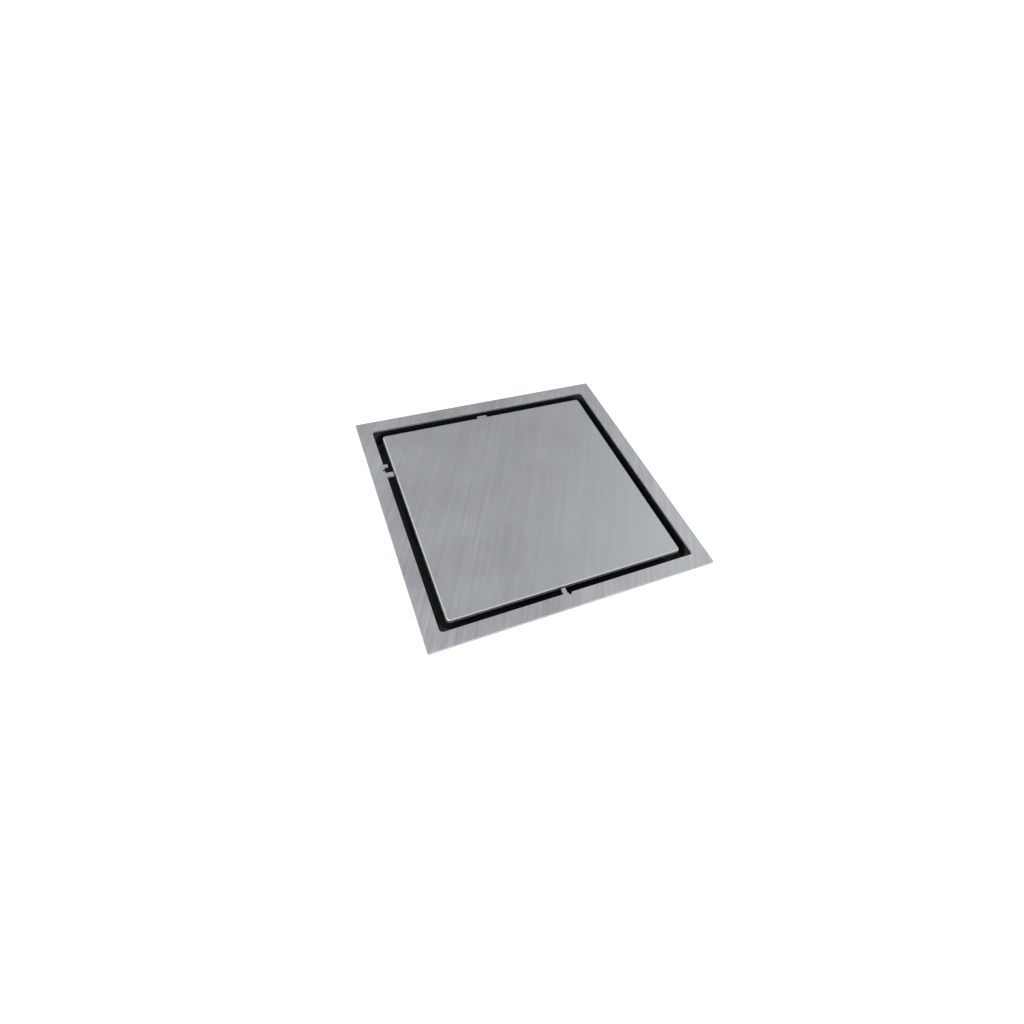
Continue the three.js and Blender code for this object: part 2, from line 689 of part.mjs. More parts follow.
/** A turned knob with a blind hole for its screw. */
function strainerKnob() {
  const foot = cupUnder + STRAINER_SHEET;
  const top = foot + KNOB_HEIGHT;
  const bore = STEM_RADIUS + BOLT_CLEARANCE;
  const boreTop = foot + KNOB_BORE_DEPTH;
  return turned(
    [
      [bore, foot],
      [KNOB_RADIUS, foot],
      [KNOB_NECK_RADIUS, foot + KNOB_FOOT_HEIGHT],
      [KNOB_NECK_RADIUS, top - KNOB_HEAD_HEIGHT - KNOB_TAPER],
      [KNOB_RADIUS, top - KNOB_HEAD_HEIGHT],
      [KNOB_RADIUS, top - KNOB_EDGE],
      [KNOB_RADIUS - KNOB_EDGE, top],
      [0, top],
      [0, boreTop],
      [bore, boreTop],
    ],
    MEDIUM,
  );
}

function knobScrew() {
  const tip = cupUnder + STRAINER_SHEET + KNOB_SCREW_REACH;
  return turned(
    [
      [0, cupUnder - KNOB_SCREW_HEAD],
      [KNOB_SCREW_RADIUS - KNOB_SCREW_EDGE, cupUnder - KNOB_SCREW_HEAD],
      [KNOB_SCREW_RADIUS, cupUnder - KNOB_SCREW_EDGE],
      [KNOB_SCREW_RADIUS, cupUnder],
      [STEM_RADIUS, cupUnder],
      [STEM_RADIUS, tip],
      [0, tip],
    ],
    COARSE,
  );
}

// ---------------------------------------------------------------------------------------------------------
// Cover
// ---------------------------------------------------------------------------------------------------------

/** The solid plate, with the tongue at the middle of its far side. */
function coverPlate() {
  const plate = squarePlate(coverHalf, COVER_CORNER, coverUnder, coverTop);
  const length = COVER_TONGUE_REACH + PAST;
  const y = coverHalf - PAST + length / 2;
  return plate.add(block(COVER_TONGUE_X, y, COVER_TONGUE_WIDTH, length, coverUnder, coverTop));
}

function bondPad() {
  return squarePlate(coverHalf - BOND_INSET, CARRIER_CORNER, carrierTop, coverUnder);
}

/** The moulded carrier under the plate: a skin with a grid of ribs below it and a boss for each foot. */
function coverCarrier() {
  const body = squarePlate(carrierHalf, CARRIER_CORNER, carrierUnder, carrierTop);
  const cell = (2 * carrierHalf - CARRIER_RIB * (CARRIER_CELLS + 1)) / CARRIER_CELLS;
  const pitch = cell + CARRIER_RIB;
  const ceiling = carrierTop - CARRIER_SKIN;
  const cells = [];
  for (let row = 0; row < CARRIER_CELLS; row++) {
    for (let column = 0; column < CARRIER_CELLS; column++) {
      const x = (column - (CARRIER_CELLS - 1) / 2) * pitch;
      const y = (row - (CARRIER_CELLS - 1) / 2) * pitch;
      const hollow = prism(roundedSquare(cell / 2, CARRIER_CELL_CORNER), carrierUnder - PAST, ceiling, 1);
      cells.push(hollow.translate([x, y, 0]));
    }
  }
  const bosses = fourCorners(footAt).map(([x, y]) =>
    rod(FOOT_RADIUS + FOOT_BOSS_MARGIN, carrierUnder, ceiling + CARRIER_SKIN / 2, MEDIUM, x, y),
  );
  const pegHoleTop = carrierUnder + FOOT_PEG_LENGTH + RUNNING;
  const pegHoles = fourCorners(footAt).map(([x, y]) =>
    rod(FOOT_PEG_RADIUS + BOLT_CLEARANCE, carrierUnder - PAST, pegHoleTop, MEDIUM, x, y),
  );
  return cut(unite([cut(body, cells), ...bosses]), pegHoles);
}

/** A rubber foot with a peg that presses into the carrier's boss. */
function coverFoot() {
  return turned(
    [
      [0, footUnder],
      [FOOT_RADIUS, footUnder],
      [FOOT_RADIUS, carrierUnder],
      [FOOT_PEG_RADIUS, carrierUnder],
      [FOOT_PEG_RADIUS, carrierUnder + FOOT_PEG_LENGTH],
      [0, carrierUnder + FOOT_PEG_LENGTH],
    ],
    MEDIUM,
  );
}

// ---------------------------------------------------------------------------------------------------------
// Assembly
// ---------------------------------------------------------------------------------------------------------

/** Adds one copy of a piece at each place, named name_1, name_2 and so on. */
function addCopies(group, name, make, material, places) {
  places.forEach(([x, y, z = 0], i) => {
    const copy = piece(`${name}_${i + 1}`, make(), material);
    copy.position.set(x, y, z);
    group.add(copy);
  });
}

function drainBody() {
  const group = new THREE.Group();
  group.add(
    piece('top_frame', topFrame(), brushedSteel),
    piece('frame_gasket', frameGasket(), blackRubber),
    piece('gully_tray', gullyTray(), blackPlastic),
    piece('outlet_tailpiece', outletTailpiece(), greyPlastic),
    piece('union_washer', unionWasher(), blackRubber),
    piece('union_nut', unionNut(), blackPlastic),
  );
  const places = fourCorners(studAt);
  const washerUnder = rimUnder - WASHER_THICKNESS;
  const washer = () =>
    rod(WASHER_RADIUS, washerUnder, rimUnder).subtract(
      rod(STUD_RADIUS + BOLT_CLEARANCE, washerUnder - PAST, rimUnder + PAST, COARSE),
    );
  const nut = () => hexNut(NUT_FLATS, STUD_RADIUS + BOLT_CLEARANCE, washerUnder - NUT_HEIGHT, washerUnder);
  const stud = () => rod(STUD_RADIUS, frameUnder - STUD_LENGTH, frameUnder, COARSE);
  addCopies(group, 'frame_stud', stud, fastenerSteel, places);
  addCopies(group, 'frame_washer', washer, fastenerSteel, places);
  addCopies(group, 'frame_nut', nut, fastenerSteel, places);
  return group;
}

function odourTrap() {
  const group = new THREE.Group();
  group.add(piece('core_sleeve', coreSleeve(), whitePlastic));
  addCopies(group, 'core_o_ring', oRing, blackRubber, oRingHeights().map((z) => [0, 0, z]));
  return group;
}

function valve() {
  const group = new THREE.Group();
  const nut = hexNut(VALVE_NUT_FLATS, STEM_RADIUS + BOLT_CLEARANCE, stemEnd, plateUnder);
  group.add(
    piece('valve_stem', valveStem(), fastenerSteel),
    piece('valve_plate', valvePlate(), whitePlastic),
    piece('valve_gasket', valveGasket(), sealRubber),
    piece('valve_nut', nut, fastenerSteel),
    piece('spring_cap', springCap(), fastenerSteel),
    piece('valve_spring', valveSpring(), springSteel),
  );
  return group;
}

function strainer() {
  const group = new THREE.Group();
  group.add(
    piece('strainer_basket', strainerBasket(), pressedSteel),
    piece('strainer_knob', strainerKnob(), pressedSteel),
    piece('knob_screw', knobScrew(), fastenerSteel),
  );
  return group;
}

function cover() {
  const group = new THREE.Group();
  group.add(
    piece('cover_plate', coverPlate(), brushedSteel),
    piece('bond_pad', bondPad(), foam),
    piece('cover_carrier', coverCarrier(), blackPlastic),
  );
  addCopies(group, 'cover_foot', coverFoot, blackRubber, fourCorners(footAt));
  return group;
}

const installed = new THREE.Group(); // zero at the frame's top face
installed.position.z = OVERALL_HEIGHT;
installed.add(drainBody(), odourTrap(), valve(), strainer(), cover());

const floorDrain = new THREE.Group();
floorDrain.add(installed);

export default floorDrain;
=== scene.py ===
import json
import math
from dataclasses import dataclass

import bmesh
import bpy
from mathutils import Matrix, Vector
from mathutils.geometry import tessellate_polygon


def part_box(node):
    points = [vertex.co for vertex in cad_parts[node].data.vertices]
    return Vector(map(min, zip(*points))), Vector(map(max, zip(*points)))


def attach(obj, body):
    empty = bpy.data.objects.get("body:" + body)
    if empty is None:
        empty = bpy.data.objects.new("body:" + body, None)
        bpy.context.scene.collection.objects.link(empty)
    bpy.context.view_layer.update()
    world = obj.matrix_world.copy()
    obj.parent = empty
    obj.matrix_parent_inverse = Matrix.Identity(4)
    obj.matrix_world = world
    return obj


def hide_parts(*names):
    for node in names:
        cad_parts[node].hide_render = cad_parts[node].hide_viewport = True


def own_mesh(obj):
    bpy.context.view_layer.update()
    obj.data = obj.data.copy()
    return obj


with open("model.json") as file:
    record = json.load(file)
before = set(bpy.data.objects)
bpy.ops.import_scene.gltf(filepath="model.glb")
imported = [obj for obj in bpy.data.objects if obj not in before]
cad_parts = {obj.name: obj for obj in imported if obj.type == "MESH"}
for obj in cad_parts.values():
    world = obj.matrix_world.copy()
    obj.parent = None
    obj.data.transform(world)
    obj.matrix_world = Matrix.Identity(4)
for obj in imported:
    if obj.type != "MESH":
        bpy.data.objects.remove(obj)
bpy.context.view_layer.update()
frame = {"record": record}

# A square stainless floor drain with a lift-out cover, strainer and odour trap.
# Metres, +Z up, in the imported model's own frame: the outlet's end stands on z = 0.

MM = 0.001
TURN = 2 * math.pi
AXIS = 1e-6  # a station nearer to the Z axis than this is a single point, and a shorter edge is none
ROUND = 0.3 * MM  # how far a moulded or deburred edge is rounded, unless a station says otherwise
ARC_STEPS = 4  # facets along a rounded edge
CREASE = math.radians(40)

# Sizes inside the CAD solids that their boxes don't give
FLANGE_WIDTH = 7.85 * MM
OPENING_CORNER = 2 * MM
COVER_CORNER = 2 * MM
FRAME_CORNER = 0.6 * MM
CARRIER_CORNER = 6 * MM
CARRIER_SKIN = 1.5 * MM
CARRIER_RIB = 1.8 * MM
CARRIER_CELLS = 4  # along each side
CARRIER_CELL_CORNER = 3 * MM
FOOT_BOSS_MARGIN = 0.5 * MM
TRAY_WALL = 2 * MM
POCKET_SETBACK = 0.35 * MM  # from the frame's opening out to the tray's pocket
POCKET_CORNER = 10 * MM
REST_PAD_HEIGHT = 0.5 * MM
REST_PAD_RADIUS = 5.2 * MM
FUNNEL_INSET = 3.5 * MM
FUNNEL_FALL = 3.5 * MM
STRAINER_CLEARANCE = 0.5 * MM
STRAINER_SINK = 0.2 * MM  # how far the strainer's rim lies below the foot of the funnel
GUSSETS = 8
GUSSET_THICKNESS = 2 * MM
GUSSET_CLEARANCE = 4 * MM  # above the union nut
STUB_WALL = 5.6 * MM
STUB_THREADED = 15 * MM
THREAD_DEPTH = 0.9 * MM
THREAD_PITCH = 3 * MM
COLLAR_REACH = 4.6 * MM  # from the outlet pipe's outside to the edge of its collar
COLLAR_THICKNESS = 3 * MM
PIPE_WALL = 2.2 * MM
UNION_WALL = 4.6 * MM
UNION_LIP = 3 * MM
UNION_GRIPS = 10
UNION_GRIP_HEIGHT = 2.4 * MM
CORE_WALL = 1.8 * MM
CORE_CLEARANCE = 1 * MM  # between the odour trap's sleeve and the outlet pipe
CORE_FLANGE_THICKNESS = 2 * MM
CORE_FLANGE_CLEARANCE = 1.5 * MM
O_RING_SECTION = 1.25 * MM  # the radius of its cord
SPIDER_ARMS = 3
SPIDER_HUB_RADIUS = 5 * MM
SPIDER_HUB_HEIGHT = 3 * MM
STEM_SHOULDER_HEIGHT = 1.2 * MM
SPRING_WIRE = 0.45 * MM  # the radius of the wire
SPRING_TURNS = 6.5
SPRING_CLEARANCE = 0.1 * MM  # between the spring and what it presses on
STRAINER_SHEET = 1 * MM
HOLE_PITCH = 7 * MM
HOLE_RADIUS = 1.6 * MM
PLAIN_RADIUS = 7 * MM  # the middle of the strainer, which has no holes
STEM_RADIUS = 1.5 * MM  # of the studs, the valve's stem and the strainer's screw
BOLT_CLEARANCE = 0.1 * MM
RUNNING_CLEARANCE = 0.3 * MM
BOLT_PITCH = 0.5 * MM
BOLT_THREAD_DEPTH = 0.12 * MM
RIDGE_SHARE = 0.95  # how much of its depth a thread's ridge fills
BOLT_RIDGE = BOLT_THREAD_DEPTH * RIDGE_SHARE

behaviour = frame["record"]["behaviour"]
BODY_OF = {node: body for body, nodes in behaviour["bodies"].items() for node in nodes}
SLOT_OF = {row["node"]: row["material_slot"] for row in frame["record"]["subparts"]}


# ---- Outlines and profiles ----


def even_angles(count):
    return [i * TURN / count for i in range(count)]


def polar(reach, angle, z=0.0):
    return (reach * math.cos(angle), reach * math.sin(angle), z)


@dataclass
class Station:
    """One corner of a profile: how far out it lies, how high, and how far its edge is rounded."""

    half: float
    z: float
    round: float = ROUND
    corner: float = None  # the corner radius of a rounded square; None is a circle
    grip: float = 0  # how far the ribs of a nut stand out here


def corner_arc(before, at, after, radius, steps=ARC_STEPS):
    """The points of the arc that rounds one corner of a flat outline."""
    back, on = before - at, after - at
    if radius <= 0 or back.length < AXIS or on.length < AXIS:
        return [at.copy()]
    half_angle = back.angle(on) / 2
    nearly_straight = math.radians(88)
    if half_angle > nearly_straight:
        return [at.copy()]
    room = 0.45 * min(back.length, on.length)
    reach = min(radius / math.tan(half_angle), room)
    radius = reach * math.tan(half_angle)
    back.normalize()
    on.normalize()
    centre = at + (back + on).normalized() * (radius / math.sin(half_angle))
    start, end = at + back * reach - centre, at + on * reach - centre
    sweep = math.atan2(start.cross(end), start.dot(end))
    return [centre + Matrix.Rotation(sweep * i / steps, 2) @ start for i in range(steps + 1)]


def rounded_profile(stations, closed):
    """The stations of a profile, with each corner made an arc."""
    points = [Vector((s.half, s.z)) for s in stations]
    made = []
    for i, station in enumerate(stations):
        at_end = not closed and i in (0, len(stations) - 1)
        after = points[(i + 1) % len(points)]
        arc = [points[i]] if at_end else corner_arc(points[i - 1], points[i], after, station.round)
        made += [Station(p.x, p.y, 0, station.corner, station.grip) for p in arc]
    return made


def rounded_outline(corners, steps=6):
    """A closed flat outline from (x, y, radius) corners."""
    points = [Vector((x, y)) for x, y, _ in corners]
    made = []
    for i, (_, _, radius) in enumerate(corners):
        after = points[(i + 1) % len(points)]
        made += corner_arc(points[i - 1], points[i], after, radius, steps)
    return made


def square_outline(half, radius, centre=(0, 0)):
    x, y = centre
    signs = ((1, -1), (1, 1), (-1, 1), (-1, -1))
    return rounded_outline([(x + a * half, y + b * half, radius) for a, b in signs], steps=10)


def round_outline(radius, count):
    return [Vector(polar(radius, angle)[:2]) for angle in even_angles(count)]


def offset_outline(outline, distance):
    """The outline moved sideways: inwards where distance is positive and the outline runs anticlockwise."""
    made = []
    for i, at in enumerate(outline):
        back = (at - outline[i - 1]).normalized()
        on = (outline[(i + 1) % len(outline)] - at).normalized()
        left = Vector((-back.y, back.x)) + Vector((-on.y, on.x))
        made.append(at + left * (distance / (1 + back.dot(on))))
    return made


def anticlockwise(outline):
    ahead = outline[1:] + outline[:1]
    return sum(a.x * b.y - b.x * a.y for a, b in zip(outline, ahead)) > 0


def square_reach(half, corner, angle):
    """How far a rounded square reaches from its middle at that polar angle."""
    across, along = sorted((abs(math.cos(angle)), abs(math.sin(angle))))
    straight = half - corner
    if across * half <= straight * along:
        return half / along
    middle = straight * (across + along)
    return middle + math.sqrt(max(middle**2 - 2 * straight**2 + corner**2, 0))


# ---- Meshes ----


def square_angles(count=28):
    """Polar angles that crowd towards the four corners, where small radii need them."""
    crowding = 1.6
    spread = [math.radians(45) * (i / count) ** crowding for i in range(count)]
    middles = [math.radians(45 + 90 * i) for i in range(4)]
    return [m + side for m in middles for side in [-s for s in reversed(spread[1:])] + spread]


def bridge(bm, low, high):
    """Faces between two closed rows of vertices. A row of one is a point on the axis."""
    count = max(len(low), len(high))
    if count == 1:
        return
    for i in range(count):
        j = (i + 1) % count
        ring = [low[i % len(low)], low[j % len(low)], high[j % len(high)], high[i % len(high)]]
        corners = [v for k, v in enumerate(ring) if v not in ring[:k]]
        bm.faces.new(corners)


def loft(bm, stations, angles, closed=True, grip=None):
    """Adds a solid whose cross-section at each station is a circle or a rounded square about Z."""
    rows = []
    for station in rounded_profile(stations, closed):
        if station.half < AXIS:
            rows.append([bm.verts.new((0, 0, station.z))])
            continue
        corner = station.half if station.corner is None else min(station.corner, station.half)
        row = []
        for angle in angles:
            reach = square_reach(station.half, corner, angle)
            if grip:
                reach += station.grip * grip(angle)
            row.append(bm.verts.new(polar(reach, angle, station.z)))
        rows.append(row)
    following = rows[1:] + rows[:1] if closed else rows[1:]
    for low, high in zip(rows, following):
        bridge(bm, low, high)


def turned(stations, closed=True, facets=128, grip=None):
    """A solid turned about the Z axis. An open profile starts and ends on the axis."""
    bm = bmesh.new()
    loft(bm, stations, even_angles(facets), closed, grip)
    return bm


def cylinder(radius, low, high, low_edge=ROUND, high_edge=ROUND, facets=64):
    ends = [Station(radius, low, low_edge), Station(radius, high, high_edge)]
    return turned([Station(0, low), *ends, Station(0, high)], closed=False, facets=facets)


def moulded(stations):
    bm = bmesh.new()
    loft(bm, stations, square_angles())
    return bm


def plate(outlines, low, high, top_edge, under_edge=None):
    """A flat plate with holes and rounded edges. The first outline is its edge, and the rest are holes."""
    under_edge = top_edge if under_edge is None else under_edge
    leans = [math.radians(90) * i / ARC_STEPS for i in range(ARC_STEPS + 1)]
    levels = [(under_edge * (1 - math.sin(a)), low + under_edge * (1 - math.cos(a))) for a in leans]
    levels += [(top_edge * (1 - math.cos(a)), high - top_edge * (1 - math.sin(a))) for a in leans]
    bm = bmesh.new()
    first_rows, last_rows = [], []
    for i, outline in enumerate(outlines):
        if anticlockwise(outline) != (i == 0):
            outline = outline[::-1]
        rows = []
        for inset, z in levels:
            rows.append([bm.verts.new((p.x, p.y, z)) for p in offset_outline(outline, inset)])
        for below, above in zip(rows, rows[1:]):
            bridge(bm, below, above)
        first_rows.append(rows[0])
        last_rows.append(rows[-1])
    for cap in (first_rows, last_rows):
        verts = [v for row in cap for v in row]
        for triangle in tessellate_polygon([[v.co.copy() for v in row] for row in cap]):
            bm.faces.new([verts[k] for k in triangle])
    return bm


def bar(size, centre, edge=0.4 * MM, spin=0.0):
    """A block with rounded edges, turned about the Z axis by spin after it is put in place."""
    bm = bmesh.new()
    bmesh.ops.create_cube(bm, size=1)
    bmesh.ops.scale(bm, vec=Vector(size), verts=bm.verts)
    bmesh.ops.bevel(bm, geom=bm.edges[:], offset=edge, segments=3, profile=0.5, affect="EDGES")
    bmesh.ops.translate(bm, vec=Vector(centre), verts=bm.verts)
    bmesh.ops.rotate(bm, cent=(0, 0, 0), matrix=Matrix.Rotation(spin, 3, "Z"), verts=bm.verts)
    return bm


def web(corners, thickness, edge, spin):
    """A flat web in the XZ plane with rounded edges, turned about the Z axis by spin."""
    bm = bmesh.new()
    face = bm.faces.new([bm.verts.new((x, -thickness / 2, z)) for x, z in corners])
    grown = bmesh.ops.extrude_face_region(bm, geom=[face])
    far_side = [g for g in grown["geom"] if isinstance(g, bmesh.types.BMVert)]
    bmesh.ops.translate(bm, vec=(0, thickness, 0), verts=far_side)
    bmesh.ops.bevel(bm, geom=bm.edges[:], offset=edge, segments=3, profile=0.5, affect="EDGES")
    bmesh.ops.rotate(bm, cent=(0, 0, 0), matrix=Matrix.Rotation(spin, 3, "Z"), verts=bm.verts)
    return bm


def coil(radius, turns, rise, section, fade=0.0, steps=48):
    """A section, as (outwards, up) points, swept round a helix. Its height at share t is rise(t), and it
    fades to nothing over that share of its length at each end."""
    bm = bmesh.new()
    rows = []
    count = round(turns * steps)
    for i in range(count + 1):
        t = i / count
        angle = t * turns * TURN
        full = min(1, max(0.02, min(t, 1 - t) / fade)) if fade else 1
        points = [polar(radius + out * full, angle, rise(t) + up * full) for out, up in section]
        rows.append([bm.verts.new(point) for point in points])
    for low, high in zip(rows, rows[1:]):
        bridge(bm, low, high)
    bm.faces.new(rows[0])
    bm.faces.new(rows[-1])
    return bm


def thread(root, low, high, pitch, depth):
    """The ridge of a screw thread from low to high."""
    turns = (high - low - pitch) / pitch
    root_side, crest_side = 0.42 * pitch, 0.1 * pitch
    section = [(-depth, -root_side), (depth, -crest_side), (depth, crest_side), (-depth, root_side)]
    start = low + pitch / 2
    return coil(root, turns, lambda t: start + t * turns * pitch, section, fade=min(0.2, 0.5 / turns))


def linked(name, bm):
    """An object in the scene, made from a mesh that is being built."""
    mesh = bpy.data.meshes.new(name)
    bm.to_mesh(mesh)
    bm.free()
    made = bpy.data.objects.new(name, mesh)
    bpy.context.scene.collection.objects.link(made)
    return made


def combined(first, second, operation):
    """Two closed solids made one, by UNION or DIFFERENCE."""
    for bm in (first, second):
        bmesh.ops.recalc_face_normals(bm, faces=bm.faces)
    base, other = linked("base", first), linked("other", second)
    modifier = base.modifiers.new("combine", "BOOLEAN")
    modifier.operation = operation
    modifier.solver = "MANIFOLD"
    modifier.object = other
    mesh = bpy.data.meshes.new_from_object(base.evaluated_get(bpy.context.evaluated_depsgraph_get()))
    bm = bmesh.new()
    bm.from_mesh(mesh)
    for used in (base.data, other.data, mesh):
        bpy.data.meshes.remove(used)
    return bm


def merged(parts):
    """One solid from several that overlap."""
    bm = parts[0]
    for part in parts[1:]:
        bm = combined(bm, part, "UNION")
    return bm


def moved(bm, at):
    """The mesh moved sideways to (x, y)."""
    bmesh.ops.translate(bm, vec=(at[0], at[1], 0), verts=bm.verts)
    return bm


def piece(name, bm, node, body=None):
    """A finished piece that stands for a CAD node, riding on its body, in the finish of its slot."""
    bmesh.ops.recalc_face_normals(bm, faces=bm.faces)
    made = linked(name, bm)
    made.data.shade_smooth()
    made.data.set_sharp_from_angle(angle=CREASE)
    made.data.materials.append(MATERIALS[SLOT_OF[node]])
    normals = made.modifiers.new("normals", "WEIGHTED_NORMAL")
    normals.keep_sharp = True
    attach(made, body or BODY_OF[node])
    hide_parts(node)
    return made


def span(node):
    """Half the width, the lowest and the highest point of a CAD node, in metres."""
    low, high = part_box(node)
    return (high.x - low.x) / 2, low.z, high.z


def middle(node):
    """Where the middle of a CAD node lies in plan."""
    low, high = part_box(node)
    return ((low.x + high.x) / 2, (low.y + high.y) / 2)


# ---- Materials ----


def add_node(tree, kind, inputs=None, **settings):
    """A shader node with these settings, and a value or a socket for each of these inputs."""
    node = tree.nodes.new(kind)
    for key, value in settings.items():
        setattr(node, key, value)
    for key, value in (inputs or {}).items():
        if isinstance(value, bpy.types.NodeSocket):
            tree.links.new(value, node.inputs[key])
        else:
            node.inputs[key].default_value = value
    return node


class Surface:
    """A material with one Principled shader, and short ways to add nodes to it."""

    def __init__(self, name, metallic=0.0, **shader):
        self.material = bpy.data.materials.new(name)
        self.material.use_nodes = True
        self.tree = self.material.node_tree
        self.shader = self.tree.nodes["Principled BSDF"]
        self.shader.inputs["Metallic"].default_value = metallic
        for key, value in shader.items():
            self.shader.inputs[key.replace("_", " ")].default_value = value
        self.place = self.add("ShaderNodeTexCoord").outputs["Object"]

    def add(self, kind, inputs=None, **settings):
        return add_node(self.tree, kind, inputs, **settings)

    def noise(self, scale, detail=4.0, rough=0.55, place=None):
        """Noise between 0 and 1. scale is in cells per metre."""
        inputs = {"Vector": place or self.place, "Scale": scale, "Detail": detail, "Roughness": rough}
        return self.add("ShaderNodeTexNoise", inputs).outputs["Fac"]

    def stretched(self, angle, along, across):
        """Coordinates turned about Z and squeezed, so that noise in them runs in streaks."""
        spun = {"Vector": self.place, "Angle": -angle}
        place = self.add("ShaderNodeVectorRotate", spun, rotation_type="Z_AXIS").outputs["Vector"]
        squeezed = {"Vector": place, "Scale": (along, across, across)}
        return self.add("ShaderNodeMapping", squeezed).outputs["Vector"]

    def remap(self, value, low, high, to_low, to_high):
        """value, from low to high, carried over to to_low and to_high."""
        inputs = {"Value": value, "From Min": low, "From Max": high, "To Min": to_low, "To Max": to_high}
        return self.add("ShaderNodeMapRange", inputs).outputs["Result"]

    def maths(self, first, second, how="ADD"):
        return self.add("ShaderNodeMath", {0: first, 1: second}, operation=how).outputs[0]

    def colour(self, share, dark, light):
        """A colour between dark and light, at share between 0 and 1."""
        mix = self.add("ShaderNodeMix", data_type="RGBA")
        sockets = {s.name: s for s in mix.inputs if s.enabled}
        self.tree.links.new(share, sockets["Factor"])
        sockets["A"].default_value = (*dark, 1)
        sockets["B"].default_value = (*light, 1)
        return next(s for s in mix.outputs if s.enabled)

    def bumps(self, *layers):
        """Bumps from (height, depth in metres) layers, one on top of another."""
        normal = None
        for height, depth in layers:
            inputs = {"Height": height, "Distance": depth, "Strength": 1.0}
            if normal:
                inputs["Normal"] = normal
            normal = self.add("ShaderNodeBump", inputs).outputs["Normal"]
        self.tree.links.new(normal, self.shader.inputs["Normal"])

    def link(self, **sockets):
        """Joins the values to the shader and gives the finished material."""
        for key, value in sockets.items():
            self.tree.links.new(value, self.shader.inputs[key.replace("_", " ")])
        return self.material

    def edges(self):
        """1 along outer edges, 0 elsewhere."""
        point = self.add("ShaderNodeNewGeometry").outputs["Pointiness"]
        flat, sharp = 0.5, 0.56
        return self.remap(point, flat, sharp, 0, 1)


def shade(colour, factor):
    """The colour made darker or lighter by that factor."""
    return tuple(min(1, c * factor) for c in colour)


def brushed_steel(name, colour, rough, angle, mottle, streaks=1.0):
    """Satin stainless sheet: lines along one direction, cloudy patches and matt sheared edges."""
    surface = Surface(name, metallic=1.0)
    fine = surface.noise(1.0, 1.0, 0.5, surface.stretched(angle, 70, 2600))
    coarse = surface.noise(1.0, 2.0, 0.5, surface.stretched(angle, 24, 620))
    cloud = surface.noise(38.0, 5.0, 0.6)
    lines = surface.maths(surface.maths(fine, 0.3, "MULTIPLY"), surface.maths(coarse, 0.7, "MULTIPLY"))
    tone = surface.maths(surface.maths(lines, 0.6, "MULTIPLY"), surface.maths(cloud, 0.4, "MULTIPLY"))
    share = surface.remap(tone, 0.34, 0.66, 0, 1)
    tint = surface.colour(share, shade(colour, 1 - mottle), shade(colour, 1 + mottle))
    roughness = surface.remap(surface.maths(lines, cloud), 0.7, 1.3, rough - 0.07, rough + 0.09)
    facing = surface.add("ShaderNodeNewGeometry").outputs["True Normal"]
    up = surface.add("ShaderNodeSeparateXYZ", {"Vector": facing}).outputs["Z"]
    sheared = surface.remap(surface.maths(up, 0.0, "ABSOLUTE"), 0.2, 0.0, 0, 0.42)
    surface.bumps((fine, 0.000001 * streaks), (coarse, 0.000006 * streaks), (cloud, 0.00003))
    return surface.link(Base_Color=tint, Roughness=surface.maths(roughness, sheared))


def pressed_steel(name, colour, rough, grain=1500.0):
    """Bright drawn or turned steel with faint rings of tool marks and small scratches."""
    surface = Surface(name, metallic=1.0)
    fine = surface.noise(grain, 3.0, 0.6)
    rings = surface.noise(1.0, 2.0, 0.5, surface.stretched(0.6, 140, 2400))
    cloud = surface.noise(90.0, 4.0)
    share = surface.remap(surface.maths(cloud, rings), 0.75, 1.25, 0, 1)
    tint = surface.colour(share, shade(colour, 0.9), shade(colour, 1.07))
    roughness = surface.remap(surface.maths(fine, rings), 0.7, 1.3, rough - 0.06, rough + 0.1)
    surface.bumps((fine, 0.000003), (rings, 0.000004), (cloud, 0.00002))
    return surface.link(Base_Color=tint, Roughness=roughness)


def moulded_plastic(name, colour, rough, grain=0.00002, gloss=0.5, scatter=0.0, mottle=0.2):
    """Moulded plastic: a fine spark-eroded grain, slow flow marks and rubbed edges."""
    surface = Surface(name, Specular_IOR_Level=gloss, Subsurface_Weight=scatter, Subsurface_Scale=0.002)
    cells = surface.add("ShaderNodeTexVoronoi", {"Vector": surface.place, "Scale": 2600.0})
    grains = cells.outputs["Distance"]
    flow = surface.noise(1.0, 3.0, 0.5, surface.stretched(0.4, 30, 160))
    cloud = surface.noise(55.0, 5.0, 0.6)
    share = surface.remap(surface.maths(flow, cloud), 0.7, 1.3, 0, 1)
    worn = surface.maths(share, surface.maths(surface.edges(), 0.8, "MULTIPLY"))
    tint = surface.colour(worn, shade(colour, 1 - mottle), shade(colour, 1 + mottle))
    roughness = surface.remap(surface.maths(cloud, grains), 0.5, 1.4, rough - 0.08, rough + 0.12)
    surface.bumps((grains, grain), (flow, 0.00004), (cloud, 0.00005))
    return surface.link(Base_Color=tint, Roughness=roughness)


def rubber(name, colour, rough=0.75):
    """Matt rubber or foam with a powdery bloom."""
    surface = Surface(name, Specular_IOR_Level=0.35)
    fine = surface.noise(2800.0, 4.0, 0.7)
    cloud = surface.noise(140.0, 4.0, 0.6)
    share = surface.remap(surface.maths(fine, cloud), 0.65, 1.35, 0, 1)
    tint = surface.colour(share, shade(colour, 0.75), shade(colour, 1.5))
    roughness = surface.remap(cloud, 0.3, 0.7, rough - 0.1, rough + 0.1)
    surface.bumps((fine, 0.00003), (cloud, 0.00006))
    return surface.link(Base_Color=tint, Roughness=roughness)


